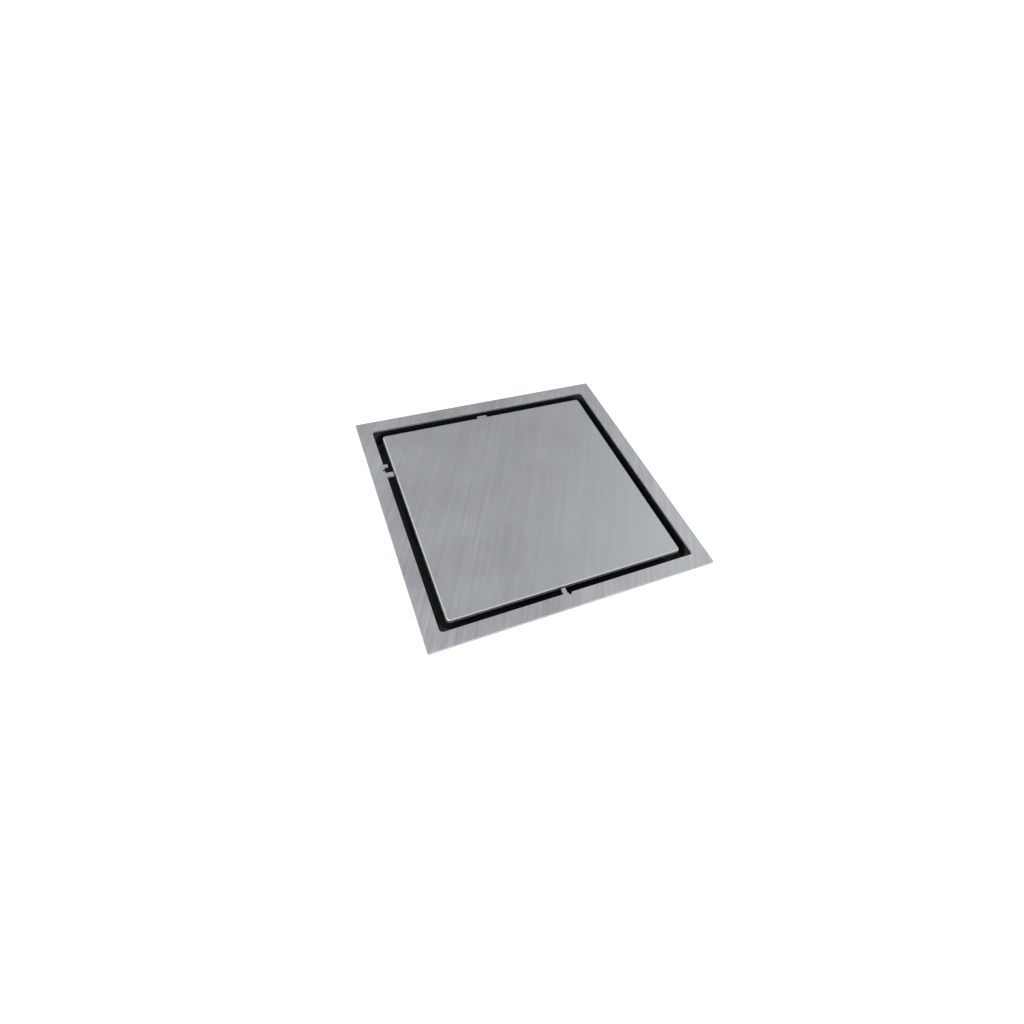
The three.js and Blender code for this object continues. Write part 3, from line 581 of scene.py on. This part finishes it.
BRUSHING = math.radians(62)  # the direction of the lines on the frame, from +X
MATERIALS = {
    "brushed_frame": brushed_steel("brushed_frame", (0.6, 0.617, 0.64), 0.37, BRUSHING, 0.15),
    "brushed_cover": brushed_steel("brushed_cover", (0.59, 0.61, 0.64), 0.36, BRUSHING, 0.045, 0.3),
    "pressed_steel": pressed_steel("pressed_steel", (0.66, 0.67, 0.68), 0.36),
    "fastener_steel": pressed_steel("fastener_steel", (0.58, 0.59, 0.6), 0.37, 3500.0),
    "spring_steel": pressed_steel("spring_steel", (0.68, 0.69, 0.7), 0.36, 4000.0),
    "black_plastic": moulded_plastic("black_plastic", (0.009, 0.0095, 0.0105), 0.45, gloss=0.36),
    "grey_plastic": moulded_plastic("grey_plastic", (0.16, 0.175, 0.19), 0.38),
    "white_plastic": moulded_plastic(
        "white_plastic", (0.78, 0.785, 0.765), 0.38, grain=0.00001, scatter=0.15, mottle=0.035
    ),
    "black_rubber": rubber("black_rubber", (0.009, 0.009, 0.01)),
    "seal_rubber": rubber("seal_rubber", (0.36, 0.045, 0.025), 0.6),
    "bond_foam": rubber("bond_foam", (0.03, 0.03, 0.032), 0.85),
}


# ---- Frame and cover plate ----

frame_half, frame_under, floor_level = span("top_frame")
opening_half = frame_half - FLANGE_WIDTH
cover_half = span("cover_plate")[0]
slot_width = opening_half - cover_half
SHEARED_EDGE = 0.22 * MM
FINGER_TIP = 0.35 * MM  # how far a finger's tip is rounded
FINGER_ROOT = 0.2 * MM

# Fingers and notches along one side of the opening: (middle, width, how far it reaches inwards)
NEAR_SIDE = [(-5.7 * MM, 2 * MM, slot_width - 1.2 * MM), (-3.45 * MM, 1.5 * MM, -1.1 * MM)]
LEFT_SIDE = [
    (38.75 * MM, 1.7 * MM, 2.2 * MM),
    (35.6 * MM, 1.8 * MM, -1.1 * MM),
    (31.9 * MM, 2.8 * MM, slot_width - 0.6 * MM),
]


def fingered_side(features, at):
    """The corners of the fingers and notches along a side. at(s, reach) is the point s along it."""
    corners = []
    for centre, width, reach in features:
        edge = width / 2 * (1 if features[0][0] < features[-1][0] else -1)
        for s, r in ((-edge, 0), (-edge, reach), (edge, reach), (edge, 0)):
            corners.append((*at(centre + s, r), FINGER_TIP if r else FINGER_ROOT))
    return corners


def build_frame():
    h = opening_half
    near = fingered_side(NEAR_SIDE, lambda s, reach: (s, -h + reach))
    left = fingered_side(LEFT_SIDE, lambda s, reach: (-h + reach, s))
    opening = [(-h, -h, OPENING_CORNER), *near, (h, -h, OPENING_CORNER), (h, h, OPENING_CORNER)]
    opening += [(-h, h, OPENING_CORNER), *left]
    outlines = [square_outline(frame_half, FRAME_CORNER), rounded_outline(opening)]
    piece("frame_ring", plate(outlines, frame_under, floor_level, SHEARED_EDGE), "top_frame")


COVER_TOP_EDGE = 1.1 * MM
COVER_UNDER_EDGE = 0.3 * MM
TAB_X = -1.6 * MM
TAB_WIDTH = 6 * MM
TAB_DROP = 0.8 * MM
TAB_ROOT = 2 * MM  # how far the tab runs on inside the sheet


def build_cover_plate():
    """The sheet, and the small tab on its far side, which lies a little lower in the slot."""
    low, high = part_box("cover_plate")
    outline = square_outline(cover_half, COVER_CORNER)
    sheet = plate([outline], low.z, high.z, COVER_TOP_EDGE, COVER_UNDER_EDGE)
    depth = high.y - cover_half + TAB_ROOT
    size = (TAB_WIDTH, depth, high.z - low.z - TAB_DROP)
    tab = bar(size, (TAB_X, high.y - depth / 2, low.z + size[2] / 2), 0.3 * MM)
    piece("cover_sheet", merged([sheet, tab]), "cover_plate")


# ---- Under the cover ----


def build_bond():
    half, low, high = span("bond_pad")
    piece("bond_layer", plate([square_outline(half, CARRIER_CORNER)], low, high, 0.1 * MM), "bond_pad")


def build_carrier():
    """A skin with a grid of ribs below it, and a boss for each foot."""
    half, low, high = span("cover_carrier")
    skin_under = high - CARRIER_SKIN
    soft, crisp = 0.4 * MM, 0.05 * MM  # its outer edges, and those that are hidden in another part of it
    overlap = 0.1 * MM
    outline = square_outline(half, CARRIER_CORNER)
    skin = plate([outline], skin_under, high, soft, crisp)
    cell = (2 * half - CARRIER_RIB * (CARRIER_CELLS + 1)) / CARRIER_CELLS
    places = [(i - (CARRIER_CELLS - 1) / 2) * (cell + CARRIER_RIB) for i in range(CARRIER_CELLS)]
    cells = [square_outline(cell / 2, CARRIER_CELL_CORNER, (x, y)) for x in places for y in places]
    parts = [skin, plate([outline, *cells], low, skin_under + overlap, crisp, soft)]
    for number in range(1, 5):
        foot = f"cover_foot_{number}"
        boss = cylinder(span(foot)[0] + FOOT_BOSS_MARGIN, low, skin_under, facets=48)
        parts.append(moved(boss, middle(foot)))
    piece("carrier_ribs", merged(parts), "cover_carrier")


def build_feet():
    """Rubber feet, each with a shallow hollow in its underside."""
    ring_width = 1.6 * MM
    hollow = 0.3 * MM
    high = span("cover_carrier")[1]
    for number in range(1, 5):
        foot = f"cover_foot_{number}"
        half, low, _ = span(foot)
        pad = [
            Station(0, high),
            Station(half, high, 0.1 * MM),
            Station(half, low, 0.4 * MM),
            Station(half - ring_width, low, 0.2 * MM),
            Station(half - ring_width - 0.4 * MM, low + hollow, 0.2 * MM),
            Station(0, low + hollow),
        ]
        piece(f"foot_{number}", moved(turned(pad, closed=False, facets=64), middle(foot)), foot)


# ---- Tray, gasket and fixings ----

rim_half, stub_end, rim_top = span("gully_tray")
rim_under = rim_top - TRAY_WALL
pocket_half = opening_half + POCKET_SETBACK
pocket_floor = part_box("cover_foot_1")[0].z - REST_PAD_HEIGHT
funnel_radius = pocket_half - FUNNEL_INSET
funnel_foot = pocket_floor - FUNNEL_FALL
strainer_radius = span("strainer_basket")[0]
counterbore_radius = strainer_radius + STRAINER_CLEARANCE
counterbore_floor = funnel_foot - STRAINER_SHEET - STRAINER_SINK
core_flange_radius, _, core_top = span("core_sleeve")
recess_radius = core_flange_radius + CORE_FLANGE_CLEARANCE
recess_floor = core_top - CORE_FLANGE_THICKNESS
stub_radius = span("union_washer")[0]
thread_root = stub_radius - THREAD_DEPTH
throat_radius = stub_radius - STUB_WALL
pipe_radius = span("outlet_tailpiece")[0] - COLLAR_REACH


def tray_profile():
    """The tray's section, from the rim's edge in and down through the throat, and back up the outside."""
    wall = TRAY_WALL
    outer_corner = POCKET_CORNER + wall
    thread_top = stub_end + STUB_THREADED
    return [
        Station(rim_half, rim_top, 0.3 * MM, OPENING_CORNER),
        Station(pocket_half, rim_top, 0.5 * MM, POCKET_CORNER),
        Station(pocket_half, pocket_floor, 1.2 * MM, POCKET_CORNER),
        Station(funnel_radius, pocket_floor, 1 * MM),
        Station(counterbore_radius, funnel_foot, 0.6 * MM),
        Station(counterbore_radius, counterbore_floor),
        Station(recess_radius, counterbore_floor, 0.5 * MM),
        Station(recess_radius, recess_floor, 0.6 * MM),
        Station(throat_radius, recess_floor, 0.5 * MM),
        Station(throat_radius, stub_end),
        Station(thread_root, stub_end, 0.6 * MM),
        Station(thread_root, thread_top, 0.4 * MM),
        Station(stub_radius, thread_top + 0.6 * MM, 0.4 * MM),
        Station(stub_radius, recess_floor - wall, 1.2 * MM),
        Station(recess_radius + wall, recess_floor - wall, 0.8 * MM),
        Station(recess_radius + wall, counterbore_floor - wall, 0.6 * MM),
        Station(counterbore_radius + wall, counterbore_floor - wall, 0.6 * MM),
        Station(counterbore_radius + wall, funnel_foot - wall, 1 * MM),
        Station(funnel_radius + wall, pocket_floor - wall, 1.2 * MM),
        Station(pocket_half + wall, pocket_floor - wall, 1 * MM, outer_corner),
        Station(pocket_half + wall, rim_under, 0.8 * MM, outer_corner),
        Station(rim_half, rim_under, 0.3 * MM, OPENING_CORNER),
    ]


def gusset_corners():
    """A gusset under the tray, which runs a little way into each wall that it holds up."""
    inner = stub_radius - 0.5 * MM
    outer = pocket_half - 6 * MM
    deep = TRAY_WALL / 2
    slope = FUNNEL_FALL / (funnel_radius - counterbore_radius)
    low = span("union_nut")[2] + GUSSET_CLEARANCE
    return [
        (inner, low),
        (stub_radius + 2 * MM, low),
        (outer, pocket_floor - TRAY_WALL - 1.5 * MM),
        (outer, pocket_floor - deep - slope * (funnel_radius - outer)),
        (counterbore_radius + deep, funnel_foot - deep),
        (counterbore_radius + deep, counterbore_floor - deep),
        (recess_radius + deep, counterbore_floor - deep),
        (recess_radius + deep, recess_floor - deep),
        (inner, recess_floor - deep),
    ]


def build_tray():
    """The tray with the thread on its stub, gussets below and a pad under each of the cover's feet."""
    parts = [moulded(tray_profile())]
    low, high = stub_end + 0.5 * MM, stub_end + STUB_THREADED
    parts.append(thread(thread_root, low, high, THREAD_PITCH, THREAD_DEPTH * RIDGE_SHARE))
    for spin in even_angles(GUSSETS):
        parts.append(web(gusset_corners(), GUSSET_THICKNESS, 0.35 * MM, spin))
    low, high = pocket_floor - TRAY_WALL / 2, pocket_floor + REST_PAD_HEIGHT
    for number in range(1, 5):
        pad = cylinder(REST_PAD_RADIUS, low, high, high_edge=0.2 * MM)
        parts.append(moved(pad, middle(f"cover_foot_{number}")))
    piece("tray_moulding", merged(parts), "gully_tray")


def build_gasket():
    half, low, high = span("frame_gasket")
    edge = 0.1 * MM
    stations = [
        Station(half, low, edge, OPENING_CORNER),
        Station(half, high, edge, OPENING_CORNER),
        Station(pocket_half, high, edge, POCKET_CORNER),
        Station(pocket_half, low, edge, POCKET_CORNER),
    ]
    piece("gasket_sheet", moulded(stations), "frame_gasket")


def nut(node):
    """A hexagonal nut with both faces chamfered, that fills a CAD node's height and its width over flats."""
    low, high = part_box(node)
    flats = min(high.x - low.x, high.y - low.y)
    low, high = low.z, high.z
    corner = flats / math.sqrt(3)
    face = 0.464 * flats  # the radius of the flat ring that the chamfer leaves on each face
    drop = (corner - flats / 2 + 0.1 * MM) * math.tan(math.radians(30))
    levels = [(face, low), (corner, low + drop), (corner, high - drop), (face, high)]
    steps = 4
    limits = []
    for (r0, z0), (r1, z1) in zip(levels, levels[1:]):
        limits += [(r0 + (r1 - r0) * i / steps, z0 + (z1 - z0) * i / steps) for i in range(steps)]
    limits.append(levels[-1])
    angles = even_angles(72)
    bm = bmesh.new()
    rows = []
    for limit, z in limits:
        row = []
        for angle in angles:
            from_flat = (angle % (TURN / 6)) - TURN / 12
            reach = min(flats / 2 / math.cos(from_flat), limit)
            row.append(bm.verts.new(polar(reach, angle, z)))
        rows.append(row)
    bore = STEM_RADIUS + BOLT_CLEARANCE
    edge = 0.2 * MM
    for r, z in ((bore + edge, high), (bore, high - edge), (bore, low + edge), (bore + edge, low)):
        rows.append([bm.verts.new(polar(r, angle, z)) for angle in angles])
    for one, other in zip(rows, rows[1:] + rows[:1]):
        bridge(bm, one, other)
    return bm


def build_stud(name, node):
    """A threaded stud whose top is welded under the frame."""
    _, low, high = span(node)
    neck = STEM_RADIUS - BOLT_THREAD_DEPTH
    shank = cylinder(neck, low, high, 0.25 * MM, 0.05 * MM, facets=48)
    ridge = thread(neck, low + 0.1 * MM, high - 0.6 * MM, BOLT_PITCH, BOLT_RIDGE)
    piece(name, moved(merged([shank, ridge]), middle(node)), node)


def build_washer(name, node):
    half, low, high = span(node)
    outlines = [round_outline(half, 64), round_outline(STEM_RADIUS + BOLT_CLEARANCE, 48)]
    piece(name, moved(plate(outlines, low, high, 0.08 * MM), middle(node)), node)


def build_fixings():
    for number in range(1, 5):
        build_stud(f"stud_{number}", f"frame_stud_{number}")
        build_washer(f"washer_{number}", f"frame_washer_{number}")
        node = f"frame_nut_{number}"
        piece(f"nut_{number}", moved(nut(node), middle(node)), node)


# ---- Outlet ----


def build_tailpiece():
    """The outlet pipe with its collar, and two grooves that mark how far it is pushed into its socket."""
    _, low, high = span("outlet_tailpiece")
    bore = pipe_radius - PIPE_WALL
    collar_under = high - COLLAR_THICKNESS
    groove_depth = 0.4 * MM
    profile = [
        Station(bore, high),
        Station(stub_radius, high, 0.3 * MM),
        Station(stub_radius, collar_under, 0.4 * MM),
        Station(pipe_radius, collar_under, 0.2 * MM),
    ]
    for mark in (0.68, 0.6):  # as a share of the pipe's length
        z = low + (collar_under - low) * mark
        profile += [
            Station(pipe_radius, z + 0.7 * MM, 0.2 * MM),
            Station(pipe_radius - groove_depth, z + 0.3 * MM, 0.2 * MM),
            Station(pipe_radius - groove_depth, z - 0.3 * MM, 0.2 * MM),
            Station(pipe_radius, z - 0.7 * MM, 0.2 * MM),
        ]
    lead_in = 1 * MM
    profile += [
        Station(pipe_radius, low + lead_in, 0.5 * MM),
        Station(pipe_radius - lead_in, low, 0.3 * MM),
        Station(bore, low, 0.3 * MM),
    ]
    piece("spigot", turned(profile, facets=160), "outlet_tailpiece")


def build_union_washer():
    _, low, high = span("union_washer")
    ring = [
        Station(throat_radius, low),
        Station(stub_radius, low),
        Station(stub_radius, high),
        Station(throat_radius, high),
    ]
    piece("union_seal", turned(ring), "union_washer")


def union_grip(angle):
    """How far the union nut's grips stand out at that angle: 1 in the middle of a grip, 0 between two."""
    half_width = 0.18  # as a share of the pitch from grip to grip
    off = abs((angle / TURN * UNION_GRIPS + 0.5) % 1 - 0.5) / half_width
    return 0 if off >= 1 else (1 - off**3) ** 2


def build_union_nut():
    """The union nut, whose lip holds the outlet pipe's collar up against the stub."""
    _, low, high = span("union_nut")
    bore = stub_radius + RUNNING_CLEARANCE
    mouth = pipe_radius + RUNNING_CLEARANCE
    body = bore + UNION_WALL
    lip = low + UNION_LIP
    full = UNION_GRIP_HEIGHT - 0.1 * MM
    foot = low + 2 * MM  # where the grips end
    profile = [
        Station(bore, high, 0.4 * MM),
        Station(body, high, 0.6 * MM, grip=full * 0.7),
        Station(body, high - 1 * MM, 0.6 * MM, grip=full),
        Station(body, foot + 1 * MM, 0.6 * MM, grip=full),
        Station(body, foot, 0.5 * MM, grip=0.1 * full),
        Station(body, low + 1 * MM, 0.4 * MM),
        Station(body - 1 * MM, low, 0.4 * MM),
        Station(mouth, low, 0.3 * MM),
        Station(mouth, lip, 0.3 * MM),
        Station(bore, lip, 0.3 * MM),
    ]
    piece("union_ring", turned(profile, facets=360, grip=union_grip), "union_nut")


# ---- Odour trap ----


sleeve_bore = pipe_radius - PIPE_WALL - CORE_CLEARANCE - CORE_WALL
sleeve_outside = sleeve_bore + CORE_WALL


def groove(node):
    """The groove for one sealing ring in the odour trap's sleeve, from the top down."""
    _, low, high = span(node)
    z = (low + high) / 2
    mouth, floor, depth = 1.45 * MM, 1.35 * MM, 0.5 * MM
    edge = 0.1 * MM
    return [
        Station(sleeve_outside, z + mouth, edge),
        Station(sleeve_outside - depth, z + floor, edge),
        Station(sleeve_outside - depth, z - floor, edge),
        Station(sleeve_outside, z - mouth, edge),
    ]


def build_o_ring(name, node):
    half, low, high = span(node)
    middle_radius = half - O_RING_SECTION
    z = (low + high) / 2
    circle = []
    for angle in even_angles(20):
        out, up, _ = polar(O_RING_SECTION, angle)
        circle.append(Station(middle_radius + out, z + up, 0))
    piece(name, turned(circle), node)


def spider(hub_top):
    """The valve's guide: a hub on three arms that run into the sleeve's wall."""
    hub_under = hub_top - SPIDER_HUB_HEIGHT
    bore = STEM_RADIUS + RUNNING_CLEARANCE
    hub = [
        Station(bore, hub_top),
        Station(SPIDER_HUB_RADIUS, hub_top, 0.4 * MM),
        Station(SPIDER_HUB_RADIUS, hub_under, 0.6 * MM),
        Station(bore, hub_under),
    ]
    start, end = 3.5 * MM, sleeve_bore + CORE_WALL / 2
    arm = (end - start, 2.4 * MM, SPIDER_HUB_HEIGHT - 0.3 * MM)
    centre = (start + arm[0] / 2, 0, (hub_top + hub_under) / 2)
    first = math.radians(270)
    arms = [bar(arm, centre, spin=first + turn) for turn in even_angles(SPIDER_ARMS)]
    return [turned(hub, facets=64), *arms]


def build_trap():
    """The sleeve with its sealing rings, the spider inside it and the bar to pull it out by."""
    _, sleeve_end, top = span("core_sleeve")
    profile = [
        Station(sleeve_bore, top, 0.6 * MM),
        Station(core_flange_radius, top, 0.5 * MM),
        Station(core_flange_radius, recess_floor, 0.4 * MM),
        Station(sleeve_outside, recess_floor, 0.4 * MM),
        *groove("core_o_ring_1"),
        *groove("core_o_ring_2"),
        Station(sleeve_outside, sleeve_end, 0.3 * MM),
        Station(sleeve_bore, sleeve_end, 0.3 * MM),
    ]
    for number in (1, 2):
        build_o_ring(f"o_ring_{number}", f"core_o_ring_{number}")
    pull_bar = (3 * MM, 2 * sleeve_bore + CORE_WALL, 4 * MM)
    parts = [turned(profile, facets=160), *spider(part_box("valve_spring")[0].z - SPRING_CLEARANCE)]
    parts.append(bar(pull_bar, (0, 0, top - pull_bar[2] / 2), 0.8 * MM))
    piece("trap_sleeve", merged(parts), "core_sleeve")


def build_stem():
    """The valve's stem: a shoulder above the plate, and a thread at each end."""
    half, low, high = span("valve_stem")
    _, plate_low, plate_high = span("valve_plate")
    neck = STEM_RADIUS - BOLT_THREAD_DEPTH
    shoulder = plate_high + STEM_SHOULDER_HEIGHT
    profile = [
        Station(0, high),
        Station(neck, high, 0.3 * MM),
        Station(neck, high - 4.5 * MM, 0.05 * MM),
        Station(STEM_RADIUS, high - 5 * MM, 0.1 * MM),
        Station(STEM_RADIUS, shoulder, 0.1 * MM),
        Station(half, shoulder, 0.2 * MM),
        Station(half, plate_high, 0.1 * MM),
        Station(STEM_RADIUS, plate_high, 0.1 * MM),
        Station(neck, plate_low, 0.1 * MM),
        Station(neck, low, 0.3 * MM),
        Station(0, low),
    ]
    parts = [turned(profile, closed=False, facets=64)]
    for start, end in ((high - 4.3 * MM, high - 0.1 * MM), (low + 0.1 * MM, plate_low)):
        parts.append(thread(neck, start, end, BOLT_PITCH, BOLT_RIDGE))
    piece("stem", merged(parts), "valve_stem")


def build_valve_plate():
    """The valve's disc, hollowed below between its hub and its rim, with ribs across the hollow."""
    half, low, high = span("valve_plate")
    bore = STEM_RADIUS + BOLT_CLEARANCE
    hollow = low + 0.7 * MM
    disc = [
        Station(bore, high),
        Station(half, high, 0.3 * MM),
        Station(half, low + 0.8 * MM, 0.3 * MM),
        Station(half - 0.8 * MM, low, 0.3 * MM),
        Station(half - 2.4 * MM, low, 0.3 * MM),
        Station(half - 3.2 * MM, hollow, 0.4 * MM),
        Station(6 * MM, hollow, 0.4 * MM),
        Station(5.2 * MM, low, 0.3 * MM),
        Station(bore, low),
    ]
    start, end = 5 * MM, half - 2.8 * MM
    rib = (end - start, 1.2 * MM, 0.9 * MM)
    centre = ((start + end) / 2, 0, low + rib[2] / 2)
    ribs = [bar(rib, centre, 0.2 * MM, turn) for turn in even_angles(6)]
    piece("flap_disc", merged([turned(disc, facets=144), *ribs]), "valve_plate")


def build_valve_gasket():
    """A flat ring with a raised lip that meets the sleeve's end."""
    half, low, high = span("valve_gasket")
    inner = half - 4.5 * MM
    seal = [
        Station(inner, low, 0.2 * MM),
        Station(half, low, 0.2 * MM),
        Station(half, high - 0.4 * MM, 0.3 * MM),
        Station(half - 1.1 * MM, high - 0.4 * MM, 0.2 * MM),
        Station(half - 1.6 * MM, high, 0.3 * MM),
        Station(inner + 0.8 * MM, high, 0.3 * MM),
        Station(inner, high - 0.5 * MM, 0.3 * MM),
    ]
    piece("flap_seal", turned(seal, facets=144), "valve_gasket")


def build_spring_cap():
    half, low, high = span("spring_cap")
    bore = STEM_RADIUS + BOLT_CLEARANCE
    cap = [
        Station(bore, low),
        Station(half, low, 0.3 * MM),
        Station(half, low + 1 * MM, 0.3 * MM),
        Station(3.1 * MM, high - 0.4 * MM, 0.3 * MM),
        Station(3 * MM, high, 0.2 * MM),
        Station(bore, high),
    ]
    piece("spring_seat", turned(cap, facets=72), "spring_cap")


def build_spring():
    """The spring stays on the spider, riding on the odour trap's body."""
    half, low, high = span("valve_spring")
    flat = 1 / SPRING_TURNS  # the first and last turn lie nearly flat
    lie = 1.2 * SPRING_WIRE  # how far such a turn still rises
    climb = high - low - 2 * SPRING_WIRE - 2 * lie

    def rise(t):
        first, last = min(t / flat, 1), max(0, (t - 1 + flat) / flat)
        share = min(max((t - flat / 2) / (1 - flat), 0), 1)
        return low + SPRING_WIRE + lie * (first + last) + climb * share

    section = [polar(SPRING_WIRE, angle)[:2] for angle in even_angles(12)]
    wire = coil(half - SPRING_WIRE, SPRING_TURNS, rise, section)
    made = piece("spring_wire", wire, "valve_spring", body="odour_trap")
    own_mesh(made)


# ---- Strainer ----


def punched(sheet, low, reach):
    """The sheet with rings of holes out to that radius, each flared at both ends."""
    high = low + STRAINER_SHEET
    flare = 0.22 * MM
    mouth = HOLE_RADIUS + 2 * flare
    waist = [
        Station(0, low - flare),
        Station(mouth, low - flare, 0),
        Station(HOLE_RADIUS, low + flare, 0),
        Station(HOLE_RADIUS, high - flare, 0),
        Station(mouth, high + flare, 0),
        Station(0, high + flare),
    ]
    ring = PLAIN_RADIUS + HOLE_RADIUS
    while ring <= reach - HOLE_RADIUS:
        for angle in even_angles(int(TURN * ring / HOLE_PITCH)):
            hole = moved(turned(waist, closed=False, facets=24), polar(ring, angle))
            sheet = combined(sheet, hole, "DIFFERENCE")
        ring += HOLE_PITCH
    return sheet


def build_strainer():
    """A drawn cup of sheet with a rim that lies in the tray's counterbore."""
    low = span("strainer_basket")[1]
    cup_radius = recess_radius - CORE_FLANGE_CLEARANCE
    inner = cup_radius - STRAINER_SHEET
    rim_low = counterbore_floor
    rim_high = rim_low + STRAINER_SHEET
    sheet = [
        Station(0, low),
        Station(cup_radius, low, 1.8 * MM),
        Station(cup_radius, rim_low, 0.4 * MM),
        Station(strainer_radius, rim_low, 0.3 * MM),
        Station(strainer_radius, rim_high, 0.4 * MM),
        Station(inner, rim_high, 1.3 * MM),
        Station(inner, low + STRAINER_SHEET, 0.9 * MM),
        Station(0, low + STRAINER_SHEET),
    ]
    basket = punched(turned(sheet, closed=False, facets=144), low, inner - 1 * MM)
    piece("basket", basket, "strainer_basket")


def build_knob():
    """The knurled knob, with a blind hole for its screw."""
    half, low, high = span("strainer_knob")
    neck = 2.4 * MM
    bore = STEM_RADIUS + BOLT_CLEARANCE
    hole_end = low + 4 * MM
    knurled = half - 0.15 * MM
    ridges = 30
    profile = [
        Station(0, hole_end),
        Station(bore, hole_end, 0),
        Station(bore, low, 0),
        Station(half, low, 0.2 * MM),
        Station(half, low + 0.5 * MM, 0.3 * MM),
        Station(neck, low + 1.3 * MM, 0.8 * MM),
        Station(neck, high - 3 * MM, 0.6 * MM),
        Station(knurled, high - 2 * MM, 0.3 * MM),
        Station(knurled, high - 0.6 * MM, 0.3 * MM, grip=0.14 * MM),
        Station(half - 0.7 * MM, high, 0.3 * MM),
        Station(1.2 * MM, high, 0.3 * MM),
        Station(0, high - 0.15 * MM),
    ]

    def knurl(angle):
        return max(0, math.cos(angle * ridges)) ** 0.5

    piece("lift_knob", turned(profile, closed=False, facets=240, grip=knurl), "strainer_knob")


def build_knob_screw():
    """The screw comes up through the strainer's sheet, with its head below."""
    half, low, high = span("knob_screw")
    head_top = span("strainer_basket")[1]
    screw = [
        Station(0, low),
        Station(half - 0.4 * MM, low, 0.4 * MM),
        Station(half, low + 0.6 * MM, 0.3 * MM),
        Station(half, head_top, 0.05 * MM),
        Station(STEM_RADIUS, head_top, 0.05 * MM),
        Station(STEM_RADIUS, high, 0.2 * MM),
        Station(0, high),
    ]
    piece("screw", turned(screw, closed=False, facets=64), "knob_screw")


# ---- Scene ----


AMBIENT = 0.46

# The room's soft bright walls: towards where, the cosines between which each one fades in, and how bright
WALLS = [
    ((0.8, 0.1, 0.59), 0.72, 0.98, 0.48),
    ((-0.85, 0.45, 0.27), 0.35, 0.95, 0.75),
    ((0.3, -0.74, 0.6), 0.75, 0.98, 0.6),
]


def build_floor():
    """A pale floor that glows, so that it stays evenly white under the object."""
    half_side = 14
    gap = 0.2 * MM  # below the outlet's end
    bm = bmesh.new()
    bmesh.ops.create_grid(bm, x_segments=2, y_segments=2, size=half_side)
    bmesh.ops.translate(bm, vec=(0, 0, -gap), verts=bm.verts)
    floor = linked("floor", bm)
    matt = {"Base_Color": (0.25, 0.25, 0.25, 1), "Specular_IOR_Level": 0.0, "Roughness": 1.0}
    glow = {"Emission_Color": (1, 1, 1, 1), "Emission_Strength": 0.97}
    floor.data.materials.append(Surface("floor_paper", **matt, **glow).material)


def build_light():
    """One soft lamp above the near left."""
    place, target = Vector((-0.55, -0.35, 0.75)), Vector((0, 0, 0.08))
    data = bpy.data.lights.new("key", "AREA")
    data.shape = "DISK"
    data.size = 0.5
    data.energy = 2
    light = bpy.data.objects.new("key", data)
    light.location = place
    light.rotation_euler = (target - place).to_track_quat("-Z", "Y").to_euler()
    bpy.context.scene.collection.objects.link(light)


def build_world():
    """A grey room with soft bright walls."""
    world = bpy.data.worlds.new("studio")
    bpy.context.scene.world = world
    world.use_nodes = True
    tree = world.node_tree
    background = tree.nodes["Background"]
    direction = tree.nodes.new("ShaderNodeTexCoord").outputs["Generated"]
    total = AMBIENT
    for towards, start, end, strength in WALLS:
        facing = add_node(tree, "ShaderNodeVectorMath", {0: direction, 1: towards}, operation="DOT_PRODUCT")
        fade = {"Value": facing.outputs["Value"], "From Min": start, "From Max": end, "To Max": strength}
        wall = add_node(tree, "ShaderNodeMapRange", fade, interpolation_type="SMOOTHSTEP")
        total = add_node(tree, "ShaderNodeMath", {0: total, 1: wall.outputs["Result"]}).outputs[0]
    tree.links.new(total, background.inputs["Strength"])
    background.inputs["Color"].default_value = (0.985, 0.99, 1.0, 1)


def build_camera():
    """The camera stands at the near left and looks down at the drain."""
    data = bpy.data.cameras.new("camera")
    data.sensor_width = 36
    data.lens = 19.41
    data.shift_x = -0.0191
    data.shift_y = 0.0043
    data.clip_start = 0.01
    data.clip_end = 100
    camera = bpy.data.objects.new("camera", data)
    camera.location = (-94.41 * MM, -178.08 * MM, floor_level + 223.24 * MM)
    tilt, roll, heading = 39.046, -5.888, -22.548  # in degrees
    camera.rotation_euler = (math.radians(tilt), math.radians(roll), math.radians(heading))
    bpy.context.scene.collection.objects.link(camera)
    bpy.context.scene.camera = camera


build_frame()
build_cover_plate()
build_bond()
build_feet()
build_carrier()
build_tray()
build_gasket()
build_fixings()
build_tailpiece()
build_union_washer()
build_union_nut()
build_trap()
build_stem()
build_valve_plate()
build_valve_gasket()
piece("stem_nut", nut("valve_nut"), "valve_nut")
build_spring_cap()
build_spring()
build_strainer()
build_knob()
build_knob_screw()
build_floor()
build_light()
build_world()
build_camera()
bpy.context.scene.view_settings.view_transform = "Standard"
